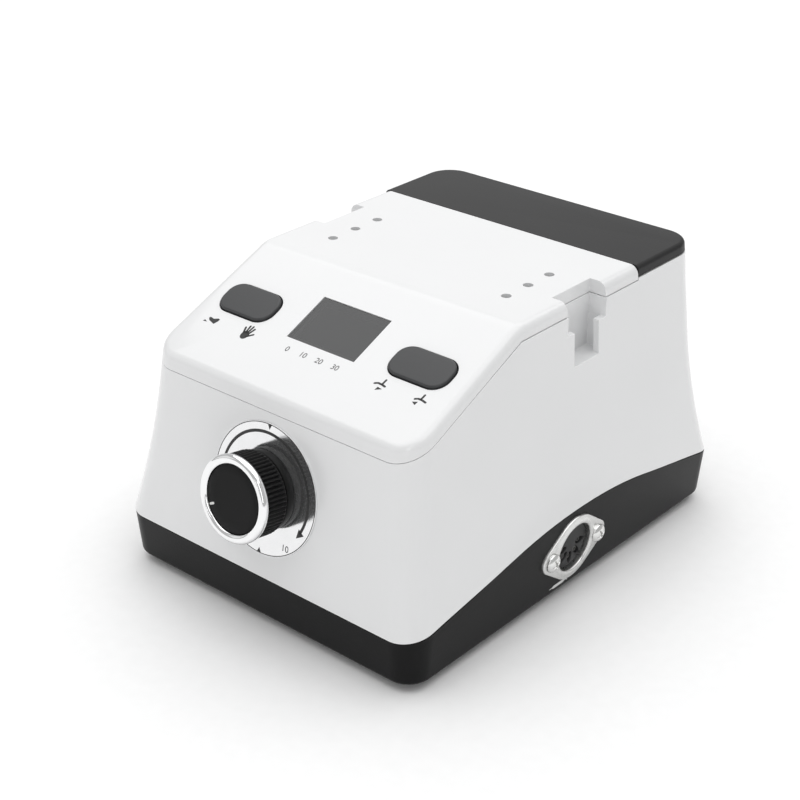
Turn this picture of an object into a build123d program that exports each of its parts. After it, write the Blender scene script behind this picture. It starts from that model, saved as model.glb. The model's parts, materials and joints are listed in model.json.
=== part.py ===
"""Control box of an electric nail drill, in millimetres.

A white body shell stands on a black base tray and is closed by a white top cover with a sloping
panel and by a black rear cover. The speed knob is on the front, the motor socket on the right side,
and the mains inlet, power switch, fuse and pedal jack are on the back.

Pieces are drawn in the case frame: X to the right as seen from the front, Y from the front edge of
the underside to the back, Z up from the underside. Each is then moved to stand on its feet, with
the origin under the middle of the whole box.
"""

import os
from math import cos, radians, sin, sqrt, tan

from build123d import *

os.makedirs("parts", exist_ok=True)

# ---------------------------------------------------------------- driving dimensions: the case
base_half_width = 55.8  # underside of the base tray
base_length = 145.8
base_corner = 7.5
base_lean = 5.2  # degrees that the tray's walls lean out
base_wall = 2.5
base_floor = 2.5
base_bottom_round = 1.8

seam_end_height = 14.3  # joint between tray and shell at the front and the back
seam_apex_height = 29.8  # where the two straight flanks of the side arch would meet
seam_crown_radius = 158.0  # arc that rounds the arch off
seam_gap = 0.15

shell_wall = 2.5
case_corner = 9.0  # upright corners of shell and covers
side_draft = 3.1  # degrees that the upper side walls lean in
front_lean = 9.4
back_lean = 6.1
flare_top = 56.0  # below this height the side walls sweep out to the seam
shell_overlap = 2.0  # the shell's form starts this far below the seam's ends
lower_level_count = 6
upper_level_steps = (0.13, 0.32, 0.61, 1.0)  # shares of the straight wall above the flare

top_height = 87.0
top_half_width = 48.6  # at the top face
cover_wall = 2.2
cover_side = 4.4  # height of the top cover's side
rear_cover_side = 3.6
panel_slope = 23.5  # degrees
panel_bend = 53.0  # distance behind the front edge where the slope meets the flat top
bend_round = 12.0
cover_edge_round = 3.0
rear_edge_round = 1.5
cover_gap = 0.25

# ---------------------------------------------------------------- driving dimensions: details
cradle_middle = 83.15  # cradle slots, distance behind the front edge
cradle_width = 18.3
cradle_depth = 5.5
cradle_shoulder = 76.8
neck_width = 11.7
neck_bottom = 66.5
pocket_wall = 1.6
slot_web = 2.0  # thickness of the wall that the slot is cut in

bit_hole_radius = 1.5
bit_hole_pitch = 10.0
bit_hole_middle = 76.8
bit_hole_side = 32.8
bit_hole_count = 3
bit_hole_length = 13.0
bit_sleeve_wall = 1.6
bit_sleeve_end = 1.5

panel_middle = 33.7  # display centre, distance behind the front edge
window_width = 25.2
window_height = 17.0
window_thickness = 1.3
window_recess = 0.3
window_fit = 0.1
sight_width = 22.4
sight_height = 13.2

key_side = 32.4
key_drop = 2.4  # keys sit this much lower on the slope than the display
key_width = 20.0
key_height = 11.0
key_gap = 0.45
key_proud = 0.9
key_skirt = 2.6
key_pivot_depth = 4.0
key_pin_radius = 0.8
key_pin_fit = 0.05
key_ear_thickness = 1.4
plunger_radius = 1.5
plunger_spread = 7.0
plunger_bottom = 3.0  # below the panel face
switch_gap = 0.62

board_depth = 8.0  # panel board below the panel face
board_thickness = 1.6
board_side_gap = 3.1  # panel board to the shell's walls
board_half_height = 13.5
board_post_side = 18.2
board_post_rise = 9.6

dial_height = 40.7
dial_radius = 19.5
dial_thickness = 0.5
knob_foot_gap = 0.4
knob_skirt_radius = 11.4
knob_neck_radius = 10.3
knob_radius = 12.2
knob_rear = 3.8
knob_front = 11.4
knob_rib_count = 60
knob_rib_depth = 0.4
ring_radius = 12.65
ring_inner_radius = 9.95
ring_front = 13.4
cap_radius = 9.85
cap_front = 12.7
cap_recess = 0.1
shaft_radius = 3.0
shaft_fit = 0.05
bushing_radius = 3.5
bushing_fit = 0.15
bushing_length = 8.0
pot_nut_width = 10.0
pot_nut_thickness = 2.0
washer_radius = 6.0
washer_thickness = 0.5
pot_radius = 12.0
pot_depth = 9.5

socket_middle = 70.0  # distance behind the front edge
socket_height = 13.9
socket_screw_pitch = 22.0
socket_screw_radius = 1.45
socket_bore = 7.6
socket_flange_radius = 10.4
socket_ear_radius = 3.9
socket_flange_thickness = 1.3
socket_can_wall = 0.5
socket_can_depth = 11.0
socket_recess = 1.8
contact_circle = 4.1
contact_radius = 0.8
contact_count = 5

foot_radius = 6.5
foot_height = 2.5
foot_side = 41.0
foot_inset = 15.5
foot_seat = 0.5

case_screw_side = 45.6
case_screw_inset = 30.0
case_screw_radius = 1.6
case_screw_length = 20.0
case_boss_radius = 3.9
case_boss_top = 12.0
case_post_top = 40.0

back_height = 38.0  # the sockets on the back wall
inlet_side = 27.5
switch_side = 1.0
fuse_side = -19.0
jack_side = -35.5

hole_fit = 0.15  # radial play of screws and bodies in their holes
case_head_radius = 2.9
case_head_seat = 3.0
case_head_rise = 1.9
post_rib = 2.0
post_rib_bottom = 30.0

cover_screw_radius = 1.3
cover_screw_length = 8.5
cover_head_radius = 2.5
cover_head_rise = 1.7
cover_post_radius = 3.3
tab_side = 41.0
tab_inner = 37.0
tab_half = 4.0
tab_thickness = 3.5
front_tab = (15.0, 62.0)  # distance behind the front edge, height
middle_tab_height = 77.0
middle_tab_reach = 9.9  # screw in front of the cradle pocket
split_tab_reach = 7.6  # screw behind the cradle pocket
split_reach = 7.0  # top cover's end behind that screw
back_tab = (127.0, 77.0)

vent_middle = 66.0
vent_pitch = 7.0
vent_row_gap = 34.0
vent_count = 8
vent_length = 24.0
vent_width = 2.4

board_sides = (-38.0, 38.0)  # main board screws
board_ends = (24.0, 74.0)
board_margin = 3.0
standoff_radius = 3.0
standoff_height = 5.0
board_screw_radius = 1.3
board_screw_length = 6.0

heat_sink_side = 25.0
heat_sink_end = 40.0
heat_sink_length = 34.0
heat_sink_height = 26.0
heat_sink_base = 2.6
fin_depth = 9.0
fin_thickness = 1.4
fin_count = 7
transistor_width = 10.2
transistor_height = 15.0
transistor_depth = 4.4
capacitor_radius = 8.0
capacitor_height = 25.0
capacitor_spots = [(-4.0, 36.0), (-4.0, 56.0)]
connector_size = (10.0, 6.0, 7.5)
connector_spots = [(-28.0, 30.0), (-28.0, 68.0), (8.0, 70.0)]

core_width = 48.0  # transformer laminations
core_height = 40.0
core_depth = 16.0
core_limb = 8.0
core_side = -18.0
core_end = 99.0
bobbin_wall = 1.0
bobbin_length = 22.0
winding_gap = 0.2
primary_thickness = 3.0
secondary_thickness = 2.6
bracket_thickness = 1.2
bracket_foot = 9.0
bracket_screw_radius = 1.6
bracket_screw_length = 6.0
bracket_depth = 12.0
bracket_boss_radius = 3.6
bracket_boss_height = 4.5
bobbin_flange = 7.4

inlet_flange_width = 31.0
inlet_flange_height = 16.0
inlet_flange_thickness = 2.0
inlet_flange_corner = 3.0
inlet_body_width = 20.6
inlet_body_height = 11.8
inlet_body_depth = 20.0
inlet_mouth_width = 16.2
inlet_mouth_height = 8.6
inlet_mouth_depth = 12.0
inlet_pin_radius = 1.15
inlet_pin_side = 4.3
inlet_pin_front = 2.5
inlet_pin_tail = 26.0
inlet_screw_side = 12.7
inlet_screw_radius = 1.4
inlet_screw_length = 7.0

switch_bezel_width = 15.0
switch_bezel_height = 21.0
switch_bezel_thickness = 1.8
switch_body_width = 13.0
switch_body_height = 19.2
switch_body_depth = 16.0
switch_mouth_height = 17.2
rocker_width = 11.2
rocker_gap = 0.3
rocker_radius = 8.3
rocker_pivot_depth = 1.2
rocker_pin_radius = 0.9
rocker_pin_reach = 0.5
rocker_bottom = 3.5
rocker_ridge = 2.0
rocker_tilt = 10.0  # degrees each way from the middle
switch_mouth_depth = 8.0
terminal_pitch = 5.0
terminal_width = 4.8
terminal_thickness = 0.8
terminal_length = 7.5

fuse_body_radius = 6.0
fuse_body_depth = 27.0
fuse_flange_radius = 7.6
fuse_flange_thickness = 1.6
fuse_bore = 3.6
fuse_cap_radius = 6.2
fuse_cap_front = 7.5
fuse_stem_depth = 4.0
fuse_radius = 2.6
fuse_length = 20.0
fuse_slot_width = 1.6

jack_thread_radius = 4.7
jack_thread_front = 4.0
jack_bore = 3.25
jack_bore_depth = 20.0
jack_body_width = 15.0
jack_body_height = 12.0
jack_body_depth = 22.0
jack_nut_width = 13.0
jack_nut_thickness = 2.6

key_corner = 4.6
key_edge_round = 0.6
key_stem_half = 2.2
switch_side_length = 6.0
switch_body_rise = 3.4
switch_button_radius = 1.6
display_width = 22.0
display_height = 12.8
display_gap = 0.5
board_post_radius = 2.2
panel_screw_radius = 1.0
panel_screw_length = 6.0
screw_head_rise = 1.4
screw_head_ratio = 1.8  # small screws: head radius over shank radius

knob_recess = 7.4
knob_recess_top = 6.2
knob_bore_top = 10.4
shaft_top = 10.2
shaft_tail = 5.0
ring_crest_radius = 11.0
socket_screw_rise = 1.6
socket_screw_head = 2.9
socket_screw_length = 7.0
socket_nut_width = 5.5
socket_nut_thickness = 2.2
insulator_fit = 0.1
insulator_depth = 9.0
insulator_key_width = 2.2
insulator_key_depth = 1.6
contact_bore = 0.5
contact_recess = 0.5
contact_tail = 5.0

# ---------------------------------------------------------------- the case's surfaces
base_slope = tan(radians(base_lean))
seam_front = -seam_end_height * base_slope
seam_back = base_length - seam_front
seam_middle = base_length / 2
seam_half_length = seam_back - seam_middle
flank_slope = (seam_apex_height - seam_end_height) / seam_half_length

shell_floor = seam_end_height - shell_overlap
flare_rise = flare_top - shell_floor
shell_levels = [shell_floor + flare_rise * i / lower_level_count for i in range(lower_level_count)]
shell_levels += [flare_top]
shell_levels += [flare_top + (top_height - flare_top) * step for step in upper_level_steps]

pocket_half = cradle_width / 2 + pocket_wall
middle_tab = (cradle_middle - pocket_half - middle_tab_reach, middle_tab_height)
split_tab = (cradle_middle + pocket_half + split_tab_reach, middle_tab_height)
cover_split = split_tab[0] + split_reach  # top cover ends and rear cover begins
board_half_width = top_half_width - shell_wall - board_side_gap


def seam_height(y):
    """Height of the seam at the distance y behind the front edge: two flanks and a crown arc."""
    cosine = 1 / sqrt(1 + flank_slope**2)
    crown_half = seam_crown_radius * flank_slope * cosine
    offset_along = abs(y - seam_middle)
    if offset_along > crown_half:
        return seam_apex_height - offset_along * flank_slope
    flank_end = seam_apex_height - crown_half * flank_slope
    return flank_end + sqrt(seam_crown_radius**2 - offset_along**2) - seam_crown_radius * cosine


def front_wall(z):
    """Distance of the front wall behind the front edge, at the height z."""
    return seam_front + (z - seam_end_height) * tan(radians(front_lean))


def back_wall(z):
    """Distance of the back wall behind the front edge, at the height z."""
    return seam_back - (z - seam_end_height) * tan(radians(back_lean))


def drafted_side(z):
    """Half width of the straight part of the side walls, at the height z."""
    return top_half_width + (top_height - z) * tan(radians(side_draft))


def half_width(y, z):
    """Half width of the shell: below flare_top a flare grows with the square of the drop."""
    if z >= flare_top:
        return drafted_side(z)
    low = seam_height(y)
    reach = base_half_width + low * base_slope - drafted_side(low)
    drop = (flare_top - z) / (flare_top - low)
    return drafted_side(z) + reach * drop**2


def tall_edges(block, least):
    """Edges that rise by more than the given height: the upright corners."""
    return block.edges().filter_by(lambda edge: edge.bounding_box().size.Z > least)


def shell_block(inset):
    """Outer form of the shell drawn in by inset, lofted through level outlines up to the top."""
    station_count = 7
    with BuildPart() as block:
        for level in shell_levels:
            first, last = front_wall(level) + inset, back_wall(level) - inset
            stations = [first + (last - first) * i / (station_count - 1) for i in range(station_count)]
            with BuildSketch(Plane.XY.offset(level)) as outline:
                with BuildLine():
                    right = Spline(*[(half_width(y, level) - inset, y) for y in stations])
                    left = Spline(*[(inset - half_width(y, level), y) for y in stations])
                    Line(right @ 0, left @ 0)
                    Line(right @ 1, left @ 1)
                make_face()
                fillet(outline.vertices(), case_corner - inset)
        loft()
    return block.part


def upper_block(inset, top):
    """Upper half of the outer form with flat walls, from flare_top to the given height."""
    with BuildPart() as block:
        with BuildSketch(Plane.YZ):
            Polygon(
                (front_wall(flare_top) + inset, flare_top),
                (back_wall(flare_top) - inset, flare_top),
                (back_wall(top) - inset, top),
                (front_wall(top) + inset, top),
                align=None,
            )
        extrude(amount=base_half_width, both=True)
        with BuildSketch(Plane.XZ):
            Polygon(
                (drafted_side(flare_top) - inset, flare_top),
                (drafted_side(top) - inset, top),
                (inset - drafted_side(top), top),
                (inset - drafted_side(flare_top), flare_top),
                align=None,
            )
        extrude(amount=2 * base_length, both=True, mode=Mode.INTERSECT)
        fillet(tall_edges(block, (top - flare_top) / 2), case_corner - inset)
    return block.part


def region_below(points, radius=None):
    """Everything under a line in the side view, given as (y, z) points from front to back."""
    with BuildPart() as region:
        with BuildSketch(Plane.YZ):
            with BuildLine():
                if radius is None:
                    line = Polyline(*points)
                else:
                    line = FilletPolyline(*points, radius=radius)
                (y_first, y_last) = (points[0][0], points[-1][0])
                Polyline(line @ 1, (y_last, -top_height), (y_first, -top_height), line @ 0)
            make_face()
        extrude(amount=2 * base_half_width, both=True)
    return region.part


def region_behind(front):
    """Everything behind the given distance from the front edge."""
    with BuildPart() as region:
        with Locations((0, front + base_length / 2, top_height / 2)):
            Box(4 * base_half_width, base_length, 2 * top_height)
    return region.part


overrun = 30.0  # how far cutting regions reach past the case


def below_seam(lift):
    """Everything under the seam between tray and shell, lifted by the given amount."""
    first, last = seam_front - overrun, seam_back + overrun
    drop = seam_end_height - overrun * flank_slope + lift
    arch = [(first, drop), (seam_middle, seam_apex_height + lift), (last, drop)]
    return region_below(arch, seam_crown_radius)


panel_tan = tan(radians(panel_slope))
panel_foot = top_height - panel_bend * panel_tan  # the slope's height above the front edge


def below_parting(lift):
    """Everything under the joint between shell and covers, lifted by the given amount."""
    first, last = seam_front - overrun, seam_back + overrun
    return region_below(
        [
            (first, panel_foot - cover_side + lift + first * panel_tan),
            (panel_bend, top_height - cover_side + lift),
            (cover_split, top_height - cover_side + lift),
            (cover_split + cover_gap, top_height - rear_cover_side + lift),
            (last, top_height - rear_cover_side + lift),
        ]
    )


def pan_screws(plane, spots, shank, length, head, rise):
    """Pan-head screws with cross slots: heads stand on the plane, shanks go down from it."""
    slot = shank * 0.45
    with BuildPart() as group:
        with BuildSketch(plane):
            with Locations(*spots):
                Circle(shank)
        extrude(amount=-length)
        with BuildSketch(plane):
            with Locations(*spots):
                Circle(head)
        extrude(amount=rise, taper=12)
        with BuildSketch(plane.offset(rise)):
            with Locations(*spots):
                Rectangle(head * 1.3, slot)
                Rectangle(slot, head * 1.3)
        extrude(amount=-rise * 0.6, mode=Mode.SUBTRACT)
    return group


# ---------------------------------------------------------------- planes that pieces are set on
slope_origin = (0, panel_middle, panel_foot + panel_middle * panel_tan)
slope_face = Plane(
    origin=slope_origin,
    x_dir=(1, 0, 0),
    z_dir=(0, -sin(radians(panel_slope)), cos(radians(panel_slope))),
)
dial_face = Plane(
    origin=(0, front_wall(dial_height), dial_height),
    x_dir=(1, 0, 0),
    z_dir=(0, -cos(radians(front_lean)), sin(radians(front_lean))),
)
socket_face = Plane(
    origin=(base_half_width + socket_height * base_slope, socket_middle, socket_height),
    x_dir=(0, 1, 0),
    z_dir=(cos(radians(base_lean)), 0, -sin(radians(base_lean))),
)
back_face = Plane(
    origin=(0, back_wall(back_height), back_height),
    x_dir=(-1, 0, 0),
    z_dir=(0, cos(radians(back_lean)), sin(radians(back_lean))),
)

case_screw_spots = [
    (x, y)
    for x in (-case_screw_side, case_screw_side)
    for y in (case_screw_inset, base_length - case_screw_inset)
]
socket_screw_spots = [(-socket_screw_pitch / 2, 0), (socket_screw_pitch / 2, 0)]
inlet_spot, switch_spot, fuse_spot, jack_spot = [
    (-side, 0) for side in (inlet_side, switch_side, fuse_side, jack_side)
]
tab_heights = [front_tab, middle_tab, split_tab, back_tab]
foot_spots = [(x, y) for x in (-foot_side, foot_side) for y in (foot_inset, base_length - foot_inset)]

# The whole box reaches from the knob's ring to the fuse cap's rim.
knob_reach = (
    ring_front * cos(radians(front_lean))
    + ring_crest_radius * sin(radians(front_lean))
    - front_wall(dial_height)
)
back_reach = (
    back_wall(back_height)
    + fuse_cap_front * cos(radians(back_lean))
    + fuse_cap_radius * sin(radians(back_lean))
)
stand = Location((0, (knob_reach - back_reach) / 2, foot_height))


def write(piece, label):
    """Label a finished piece, stand it in the part's frame and write its STEP file."""
    placed = piece.part.moved(stand)
    placed.label = label
    export_step(placed, f"parts/{label}.step")


# ---------------------------------------------------------------- forms shared by the housing pieces
shell_outer = shell_block(0)
shell_middle = shell_block(shell_wall / 2)
shell_inner = shell_block(shell_wall)
outer_top = upper_block(0, top_height)
web_form = upper_block(slot_web, top_height)

cradle_back = top_half_width - cradle_depth  # half width at the bottom of the slots
half_cradle = cradle_width / 2
half_neck = neck_width / 2
parting_height = top_height - cover_side


def side_box(side, inner, front, back, bottom, top):
    """A block on one side of the box: from the half width inner outwards past the wall."""
    outer = base_half_width
    with Locations((side * (inner + outer) / 2, (front + back) / 2, (bottom + top) / 2)):
        Box(outer - inner, back - front, top - bottom)


# ---------------------------------------------------------------- base tray
# Black moulded tray: floor, leaning walls with the arched upper edge, screw bosses, board standoffs.
board_spots = [(x, y) for x in board_sides for y in board_ends]
bracket_reach = core_width / 2 + bracket_thickness + bracket_foot / 2
bracket_spots = [(core_side - bracket_reach, core_end), (core_side + bracket_reach, core_end)]
with BuildPart() as base_tray:
    with BuildSketch(Plane.XY):
        with Locations((0, seam_middle)):
            RectangleRounded(2 * base_half_width, base_length, base_corner)
    extrude(amount=seam_apex_height, taper=-base_lean)
    fillet(base_tray.faces().sort_by(Axis.Z)[0].edges(), base_bottom_round)
    floor_grow = base_floor * base_slope - base_wall
    with BuildSketch(Plane.XY.offset(base_floor)):
        with Locations((0, seam_middle)):
            RectangleRounded(
                2 * (base_half_width + floor_grow),
                base_length + 2 * floor_grow,
                base_corner + floor_grow,
            )
    extrude(amount=seam_apex_height, taper=-base_lean, mode=Mode.SUBTRACT)
    add(below_seam(0), mode=Mode.INTERSECT)
    with BuildSketch(Plane.XY.offset(base_floor)):
        with Locations(*case_screw_spots):
            Circle(case_boss_radius + hole_fit)
    extrude(amount=case_boss_top - base_floor)
    with BuildSketch(Plane.XY.offset(base_floor)):
        with Locations(*board_spots):
            Circle(standoff_radius)
    extrude(amount=standoff_height)
    with BuildSketch(Plane.XY.offset(base_floor + standoff_height)):
        with Locations(*board_spots):
            Circle(board_screw_radius + shaft_fit)
    extrude(amount=-standoff_height, mode=Mode.SUBTRACT)
    with BuildSketch(Plane.XY.offset(base_floor)):
        with Locations(*bracket_spots):
            Circle(bracket_boss_radius)
    extrude(amount=bracket_boss_height)
    with BuildSketch(Plane.XY.offset(base_floor + bracket_boss_height)):
        with Locations(*bracket_spots):
            Circle(bracket_screw_radius + shaft_fit)
    extrude(amount=-bracket_screw_length + bracket_thickness - hole_fit, mode=Mode.SUBTRACT)
    with BuildSketch(Plane.XY.offset(case_boss_top)):
        with Locations(*case_screw_spots):
            Circle(case_screw_radius + hole_fit)
    extrude(amount=-case_boss_top, mode=Mode.SUBTRACT)
    with BuildSketch(Plane.XY):
        with Locations(*case_screw_spots):
            Circle(case_head_radius + 2 * hole_fit)
    extrude(amount=case_head_seat, mode=Mode.SUBTRACT)
    with BuildSketch(Plane.XY):
        with Locations(*foot_spots):
            Circle(foot_radius + hole_fit)
    extrude(amount=foot_seat, mode=Mode.SUBTRACT)
    with BuildSketch(Plane.XY):
        with Locations((0, vent_middle)):
            with GridLocations(vent_pitch, vent_row_gap, vent_count, 2):
                SlotOverall(vent_length, vent_width, rotation=90)
    extrude(amount=base_floor, mode=Mode.SUBTRACT)
    with BuildSketch(socket_face):
        Circle(socket_bore + socket_can_wall + hole_fit)
        with Locations(*socket_screw_spots):
            Circle(socket_screw_radius + hole_fit)
    extrude(amount=2 * base_wall, both=True, mode=Mode.SUBTRACT)
write(base_tray, "base_tray")

# ---------------------------------------------------------------- body shell
# White moulded shell, open at the top and bottom, with screw posts at its foot, screw tabs under the
# covers and a closed pocket behind each cradle slot.
with BuildPart() as shell_posts:
    with BuildSketch(Plane.XY.offset(case_boss_top + seam_gap)):
        with Locations(*case_screw_spots):
            Circle(case_boss_radius)
    extrude(amount=case_post_top - case_boss_top - seam_gap)
    for x, y in case_screw_spots:
        side = 1 if x > 0 else -1
        side_box(side, case_screw_side, y - post_rib / 2, y + post_rib / 2, post_rib_bottom, case_post_top)
    add(shell_middle, mode=Mode.INTERSECT)
    with BuildSketch(Plane.XY.offset(case_boss_top)):
        with Locations(*case_screw_spots):
            Circle(case_screw_radius + shaft_fit)
    extrude(amount=case_screw_length, mode=Mode.SUBTRACT)

with BuildPart() as shell_inserts:
    for side in (-1, 1):
        side_box(
            side,
            cradle_back - pocket_wall,
            cradle_middle - half_cradle - pocket_wall,
            cradle_middle + half_cradle + pocket_wall,
            neck_bottom - pocket_wall,
            parting_height,
        )
        for y, height in tab_heights:
            side_box(side, tab_inner, y - tab_half, y + tab_half, height - tab_thickness, height)
    add(shell_middle, mode=Mode.INTERSECT)
    for y, height in tab_heights:
        with BuildSketch(Plane.XY.offset(height)):
            with Locations((-tab_side, y), (tab_side, y)):
                Circle(cover_screw_radius + hole_fit)
        extrude(amount=-tab_thickness, mode=Mode.SUBTRACT)

with BuildPart() as pocket_space:
    for side in (-1, 1):
        side_box(
            side,
            cradle_back,
            cradle_middle - half_cradle,
            cradle_middle + half_cradle,
            neck_bottom,
            top_height,
        )
    add(web_form, mode=Mode.INTERSECT)
    for side in (-1, 1):
        side_box(
            side,
            cradle_back,
            cradle_middle - half_cradle,
            cradle_middle + half_cradle,
            cradle_shoulder,
            top_height,
        )
        side_box(
            side,
            cradle_back,
            cradle_middle - half_neck,
            cradle_middle + half_neck,
            neck_bottom,
            top_height,
        )

with BuildPart() as body_shell:
    add(shell_outer)
    add(shell_inner, mode=Mode.SUBTRACT)
    add(shell_inserts.part)
    add(pocket_space.part, mode=Mode.SUBTRACT)
    with BuildSketch(dial_face):
        Circle(bushing_radius + bushing_fit)
    extrude(amount=2 * shell_wall, both=True, mode=Mode.SUBTRACT)
    with BuildSketch(back_face):
        with Locations(inlet_spot):
            Rectangle(inlet_body_width + 2 * hole_fit, inlet_body_height + 2 * hole_fit)
            with Locations((-inlet_screw_side, 0), (inlet_screw_side, 0)):
                Circle(inlet_screw_radius + hole_fit)
        with Locations(switch_spot):
            Rectangle(switch_body_width + 2 * hole_fit, switch_body_height + 2 * hole_fit)
        with Locations(fuse_spot):
            Circle(fuse_body_radius + hole_fit)
        with Locations(jack_spot):
            Circle(jack_thread_radius + hole_fit)
    extrude(amount=2 * shell_wall, both=True, mode=Mode.SUBTRACT)
    add(below_parting(0), mode=Mode.INTERSECT)
    add(below_seam(seam_gap), mode=Mode.SUBTRACT)
    add(shell_posts.part)
write(body_shell, "body_shell")

# ---------------------------------------------------------------- top cover
# White moulded cover: the sloping panel runs up to the flat top, and the bit holes are blind sleeves
# under it. Each side is notched for the cradle slot, and posts take the screws from below.


def cover_form(inset):
    """Outer form of the top cover drawn in by inset, from below its edge up, with no openings."""
    form_floor = panel_foot - overrun
    front_tan = tan(radians(front_lean))
    foot_line = seam_front - seam_end_height * front_tan + inset
    panel_line = panel_foot - inset / cos(radians(panel_slope))
    lip_y = (foot_line + front_tan * panel_line) / (1 - front_tan * panel_tan)
    lip_z = panel_line + lip_y * panel_tan
    bend_y = (top_height - inset - panel_line) / panel_tan
    with BuildPart() as form:
        with BuildSketch(Plane.YZ):
            Polygon(
                (foot_line + front_tan * form_floor, form_floor),
                (cover_split - inset, form_floor),
                (cover_split - inset, top_height - inset),
                (bend_y, top_height - inset),
                (lip_y, lip_z),
                align=None,
            )
        extrude(amount=base_half_width, both=True)
        with BuildSketch(Plane.XZ):
            Polygon(
                (drafted_side(form_floor) - inset, form_floor),
                (top_half_width - inset, top_height),
                (inset - top_half_width, top_height),
                (inset - drafted_side(form_floor), form_floor),
                align=None,
            )
        extrude(amount=2 * base_length, both=True, mode=Mode.INTERSECT)
        front_corners = tall_edges(form, 0).filter_by(lambda edge: edge.center().Y < panel_middle)
        front_corners = front_corners.filter_by(lambda edge: abs(edge.tangent_at(0.5).Z) > 0.9)
        fillet(front_corners, case_corner - inset)
        bend = form.edges().filter_by(Axis.X).sort_by_distance((0, bend_y, top_height - inset))[0]
        fillet(bend, bend_round - inset)
        tops = form.faces().filter_by(lambda face: face.normal_at().Z > 0.5)
        sides = form.faces().filter_by(lambda face: abs(face.normal_at().Z) < 0.5)
        sides = sides.filter_by(lambda face: face.center().Y < cover_split - inset - 0.1)
        rim = [edge for edge in tops.edges() if edge in sides.edges()]
        fillet(rim, cover_edge_round - inset)
    return form.part


cover_outer = cover_form(0)
cover_inner = cover_form(cover_wall)
bit_spots = [
    (side * bit_hole_side, bit_hole_middle + (i - (bit_hole_count - 1) / 2) * bit_hole_pitch)
    for side in (-1, 1)
    for i in range(bit_hole_count)
]
window_seat = window_recess + window_thickness
key_spots = [(-key_side, -key_drop), (key_side, -key_drop)]
ear_inner = key_height / 2 + key_gap + window_fit
ear_outer = ear_inner + key_ear_thickness
post_spots = [
    (x, y)
    for x in (-board_post_side, board_post_side)
    for y in (-board_post_rise, board_post_rise)
]
cover_tabs = [front_tab, middle_tab, split_tab]

with BuildPart() as cover_posts:
    for y, height in cover_tabs:
        with BuildSketch(Plane.XY.offset(height)):
            with Locations((-tab_side, y), (tab_side, y)):
                Circle(cover_post_radius)
        extrude(amount=top_height - height)
    with BuildSketch(Plane.XY.offset(top_height)):
        with Locations(*bit_spots):
            Circle(bit_hole_radius + bit_sleeve_wall)
    extrude(amount=-bit_hole_length - bit_sleeve_end)
    with BuildSketch(slope_face):
        with Locations(*post_spots):
            Circle(board_post_radius)
    extrude(amount=-board_depth)
    for x, y in key_spots:
        for low, high in ((-ear_outer, -ear_inner), (ear_inner, ear_outer)):
            with BuildSketch(slope_face.offset(-key_pivot_depth - 2 * key_pin_radius)):
                with Locations((x, y + (low + high) / 2)):
                    Rectangle(2 * key_stem_half, high - low)
            extrude(amount=key_pivot_depth)
    for side in (-1, 1):
        side_box(
            side,
            cradle_back - pocket_wall,
            cradle_middle - half_cradle - pocket_wall,
            cradle_middle + half_cradle + pocket_wall,
            parting_height + cover_gap,
            top_height,
        )
    add(cover_outer, mode=Mode.INTERSECT)

with BuildPart() as top_cover:
    add(cover_outer)
    add(cover_inner, mode=Mode.SUBTRACT)
    add(below_parting(cover_gap), mode=Mode.SUBTRACT)
    add(cover_posts.part)
    for side in (-1, 1):
        with Locations((side * (cradle_back + overrun / 2), cradle_middle, top_height)):
            Box(overrun, cradle_width, 2 * top_height, mode=Mode.SUBTRACT)
    with BuildSketch(Plane.XY.offset(top_height)):
        with Locations(*bit_spots):
            Circle(bit_hole_radius)
    extrude(amount=-bit_hole_length, mode=Mode.SUBTRACT)
    with BuildSketch(slope_face):
        Rectangle(window_width + 2 * window_fit, window_height + 2 * window_fit)
    extrude(amount=-window_seat, mode=Mode.SUBTRACT)
    with BuildSketch(slope_face):
        Rectangle(sight_width, sight_height)
    extrude(amount=-2 * cover_wall, mode=Mode.SUBTRACT)
    with BuildSketch(slope_face):
        with Locations(*key_spots):
            RectangleRounded(key_width + 2 * key_gap, key_height + 2 * key_gap, key_corner + key_gap)
    extrude(amount=-1.5 * cover_wall, mode=Mode.SUBTRACT)
    for x, y in key_spots:
        with Locations(slope_face.location * Location((x, y, -key_pivot_depth), (90, 0, 0))):
            Cylinder(key_pin_radius + key_pin_fit, 2 * ear_outer + 1, mode=Mode.SUBTRACT)
    with BuildSketch(slope_face.offset(-board_depth)):
        with Locations(*post_spots):
            Circle(panel_screw_radius + shaft_fit)
    extrude(amount=panel_screw_length, mode=Mode.SUBTRACT)
    for y, height in cover_tabs:
        with BuildSketch(Plane.XY.offset(height)):
            with Locations((-tab_side, y), (tab_side, y)):
                Circle(cover_screw_radius + shaft_fit)
        extrude(amount=cover_screw_length - tab_thickness + hole_fit, mode=Mode.SUBTRACT)
write(top_cover, "top_cover")

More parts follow.
